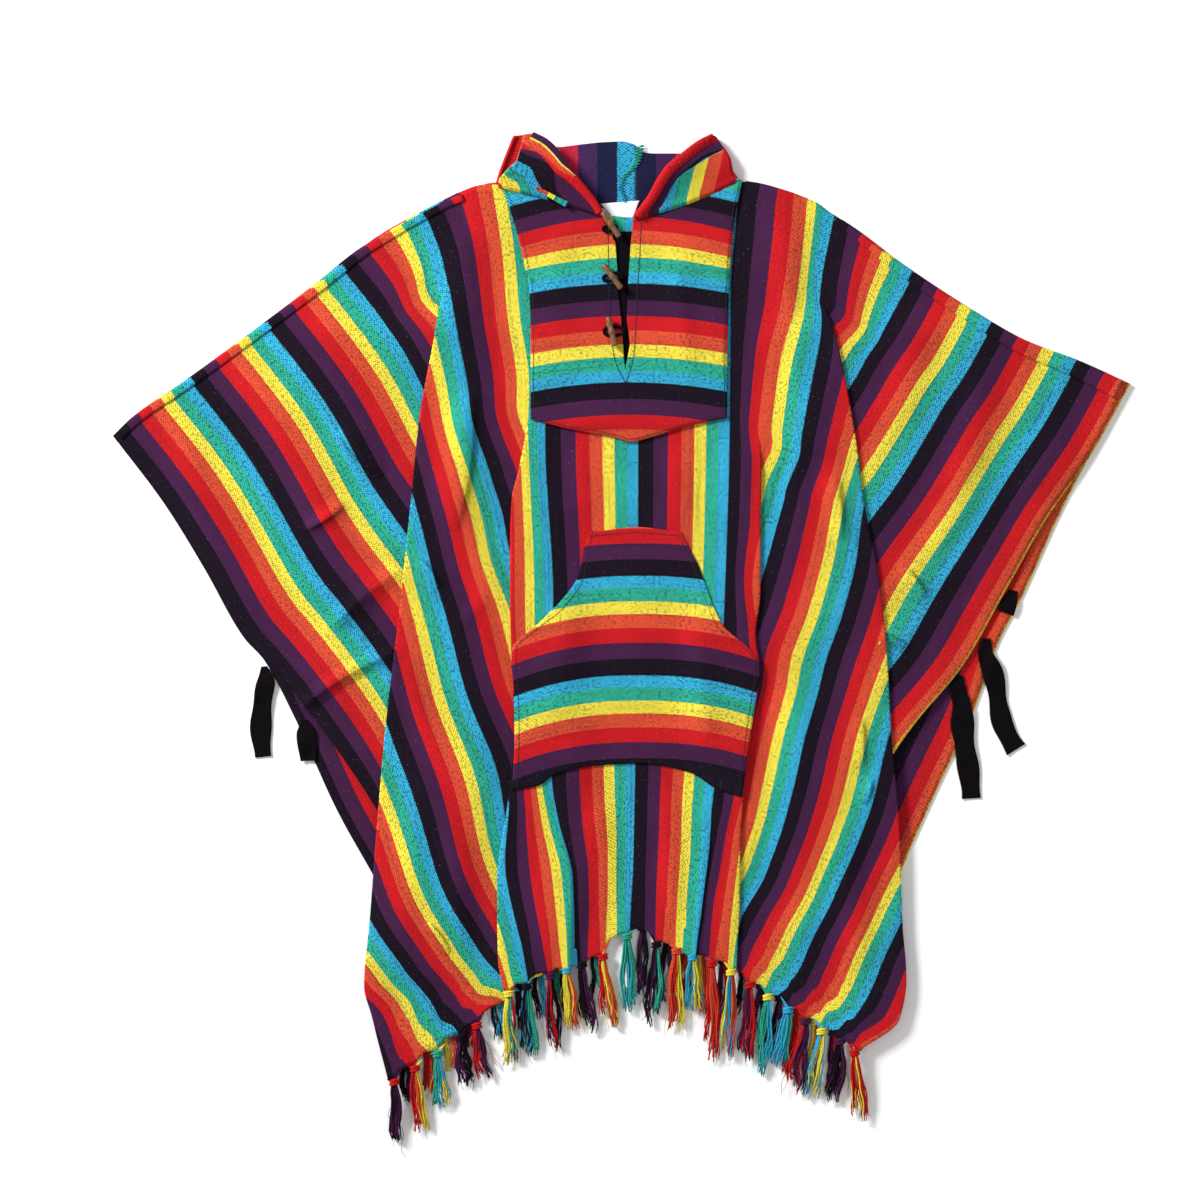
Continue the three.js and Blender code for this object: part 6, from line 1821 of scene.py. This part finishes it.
# %% Seams
def stitches(name, under, lines, spacing=SPACING, length=STITCH_LENGTH, radius=THREAD_RADIUS):
    """Rows of stitches along lines of (x, y) in mm, laid on the piece below them."""
    graph = bpy.context.evaluated_depsgraph_get()
    surface = BVHTree.FromObject(under, graph)
    vertices, edges = [], []
    for line in lines:
        line = np.asarray(line, float)
        step = np.concatenate([[0], np.cumsum(np.hypot(*np.diff(line, axis=0).T))])
        s = np.arange(0, step[-1], 2.0)
        first = True
        for x, y in zip(np.interp(s, step, line[:, 0]), np.interp(s, step, line[:, 1])):
            hit = surface.ray_cast(Vector((x * MM, y * MM, RAY_FROM)), Vector((0, 0, -1)))[0]
            if hit is None:
                first = True
                continue
            vertices.append((x * MM, y * MM, hit.z + radius * 0.5))
            if not first:
                edges.append((len(vertices) - 2, len(vertices) - 1))
            first = False
    piece = mesh_object(name, vertices, [], edges=edges)
    modifier = piece.modifiers.new("stitches", "NODES")
    modifier.node_group = stitch_rows
    values = {"Spacing": spacing, "Stitch Length": length, "Thread Radius": radius, "Thread": thread}
    for item in stitch_rows.interface.items_tree:
        if item.item_type == "SOCKET" and item.in_out == "INPUT" and item.name in values:
            modifier[item.identifier] = values[item.name]
    plain(piece)
    if not piece.data.materials:
        piece.data.materials.append(thread)
    return piece


def curve_of(rows, key, column, inset, steps=80, flip=False):
    k = np.linspace(rows[key].min(), rows[key].max(), steps)
    other = read(rows, key, column, k) + inset
    return np.column_stack([other, k] if flip else [k, other])


yoke_lines = [
    curve_of(yoke_shape["left"], "y", "x", 3.5, flip=True),
    curve_of(yoke_shape["right"], "y", "x", -3.5, flip=True),
    curve_of(yoke_shape["bottom"], "x", "y", 3.5)[3:-3], curve_of(front_neck, "x", "y", -4.0)[4:36],
    curve_of(front_neck, "x", "y", -4.0)[44:-4],
]
slit_lines = [
    [(-18, 530), (-17, 477), (-15.6, 427), (-13.8, 377), (-8.8, 350), (-2, 334), (5, 323)],
    [(24, 527), (22, 480), (20, 452), (17.5, 402), (15.6, 365), (12, 345), (5, 323)],
]
pocket_lines = [
    curve_of(pocket_shape["left"], "y", "x", 5.5, flip=True),
    curve_of(pocket_shape["right"], "y", "x", -5.5, flip=True), [(-38, 132), (18, 137), (71, 132)],
    [(-44, 117), (19, 121), (79, 117)],
]
band_lines = {}
for side_name, widths in BANDS.items():
    points = band_grid(widths)[0]
    band_lines[side_name] = [mix(points[:, -1, :2], points[:, -2, :2], 0.7)]
sewn = {
    "yoke": stitches("yoke_stitches", yoke, yoke_lines),
    "slit": stitches("slit_stitches", yoke, slit_lines, spacing=0.0038, length=0.0030, radius=0.00048),
    "pocket": stitches("pocket_stitches", pocket, pocket_lines),
    **{side_name: stitches(f"shoulder_stitches_{side_name}", bands[side_name], band_lines[side_name])
       for side_name in BANDS},
}
print("stitch faces", {name: len(piece.data.polygons) for name, piece in sewn.items()})

# %% [markdown]
# Last, every piece is tied to the frame: it rides on the one rigid body and stands for its CAD node.

# %% Tie the pieces to the frame
def grid_size(points):
    """Mean width and length of a grid, in metres."""
    across = np.linalg.norm(np.diff(points, axis=1), axis=2).sum(axis=1).mean()
    down = np.linalg.norm(np.diff(points, axis=0), axis=2).sum(axis=0).mean()
    return across * MM, down * MM


finish_cloth(back_panel, "back_panel")
finish_cloth(front_panel, "front_panel")
finish_cloth(yoke, "yoke")
finish_cloth(pocket, "pocket")
for piece in sewn.values():
    tie_to_frame(piece)
for piece in (seam_thread, seam_strip):
    tie_to_frame(piece)
for side_name, (wall, rim, points) in hood_pieces.items():
    tie_to_frame(rim)
    finish_cloth(wall, f"hood_{side_name}")
for side_name, band in bands.items():
    long, wide = grid_size(band_grid(BANDS[side_name])[0])
    finish_cloth(band, f"shoulder_band_{side_name}")
for name, piece in ties.items():
    tie_size = grid_size(ribbon_grid(table(RIBBON, TIES[name]))[0])
    finish_cloth(piece, name)
finish_cloth(underlap, "slit_underlap")
finish_cloth(label, "neck_label")
for n, (toggle, loop) in enumerate(zip(toggle_pieces, loop_pieces), 1):
    tie_to_frame(toggle, f"toggle_{n}")
    tie_to_frame(loop, f"toggle_loop_{n}")
for name, piece in fringe_pieces.items():
    tie_to_frame(piece, f"fringe_{name}")
print("pieces of yarn, cord and bamboo:", len(toggle_pieces) + len(loop_pieces) + len(fringe_pieces))
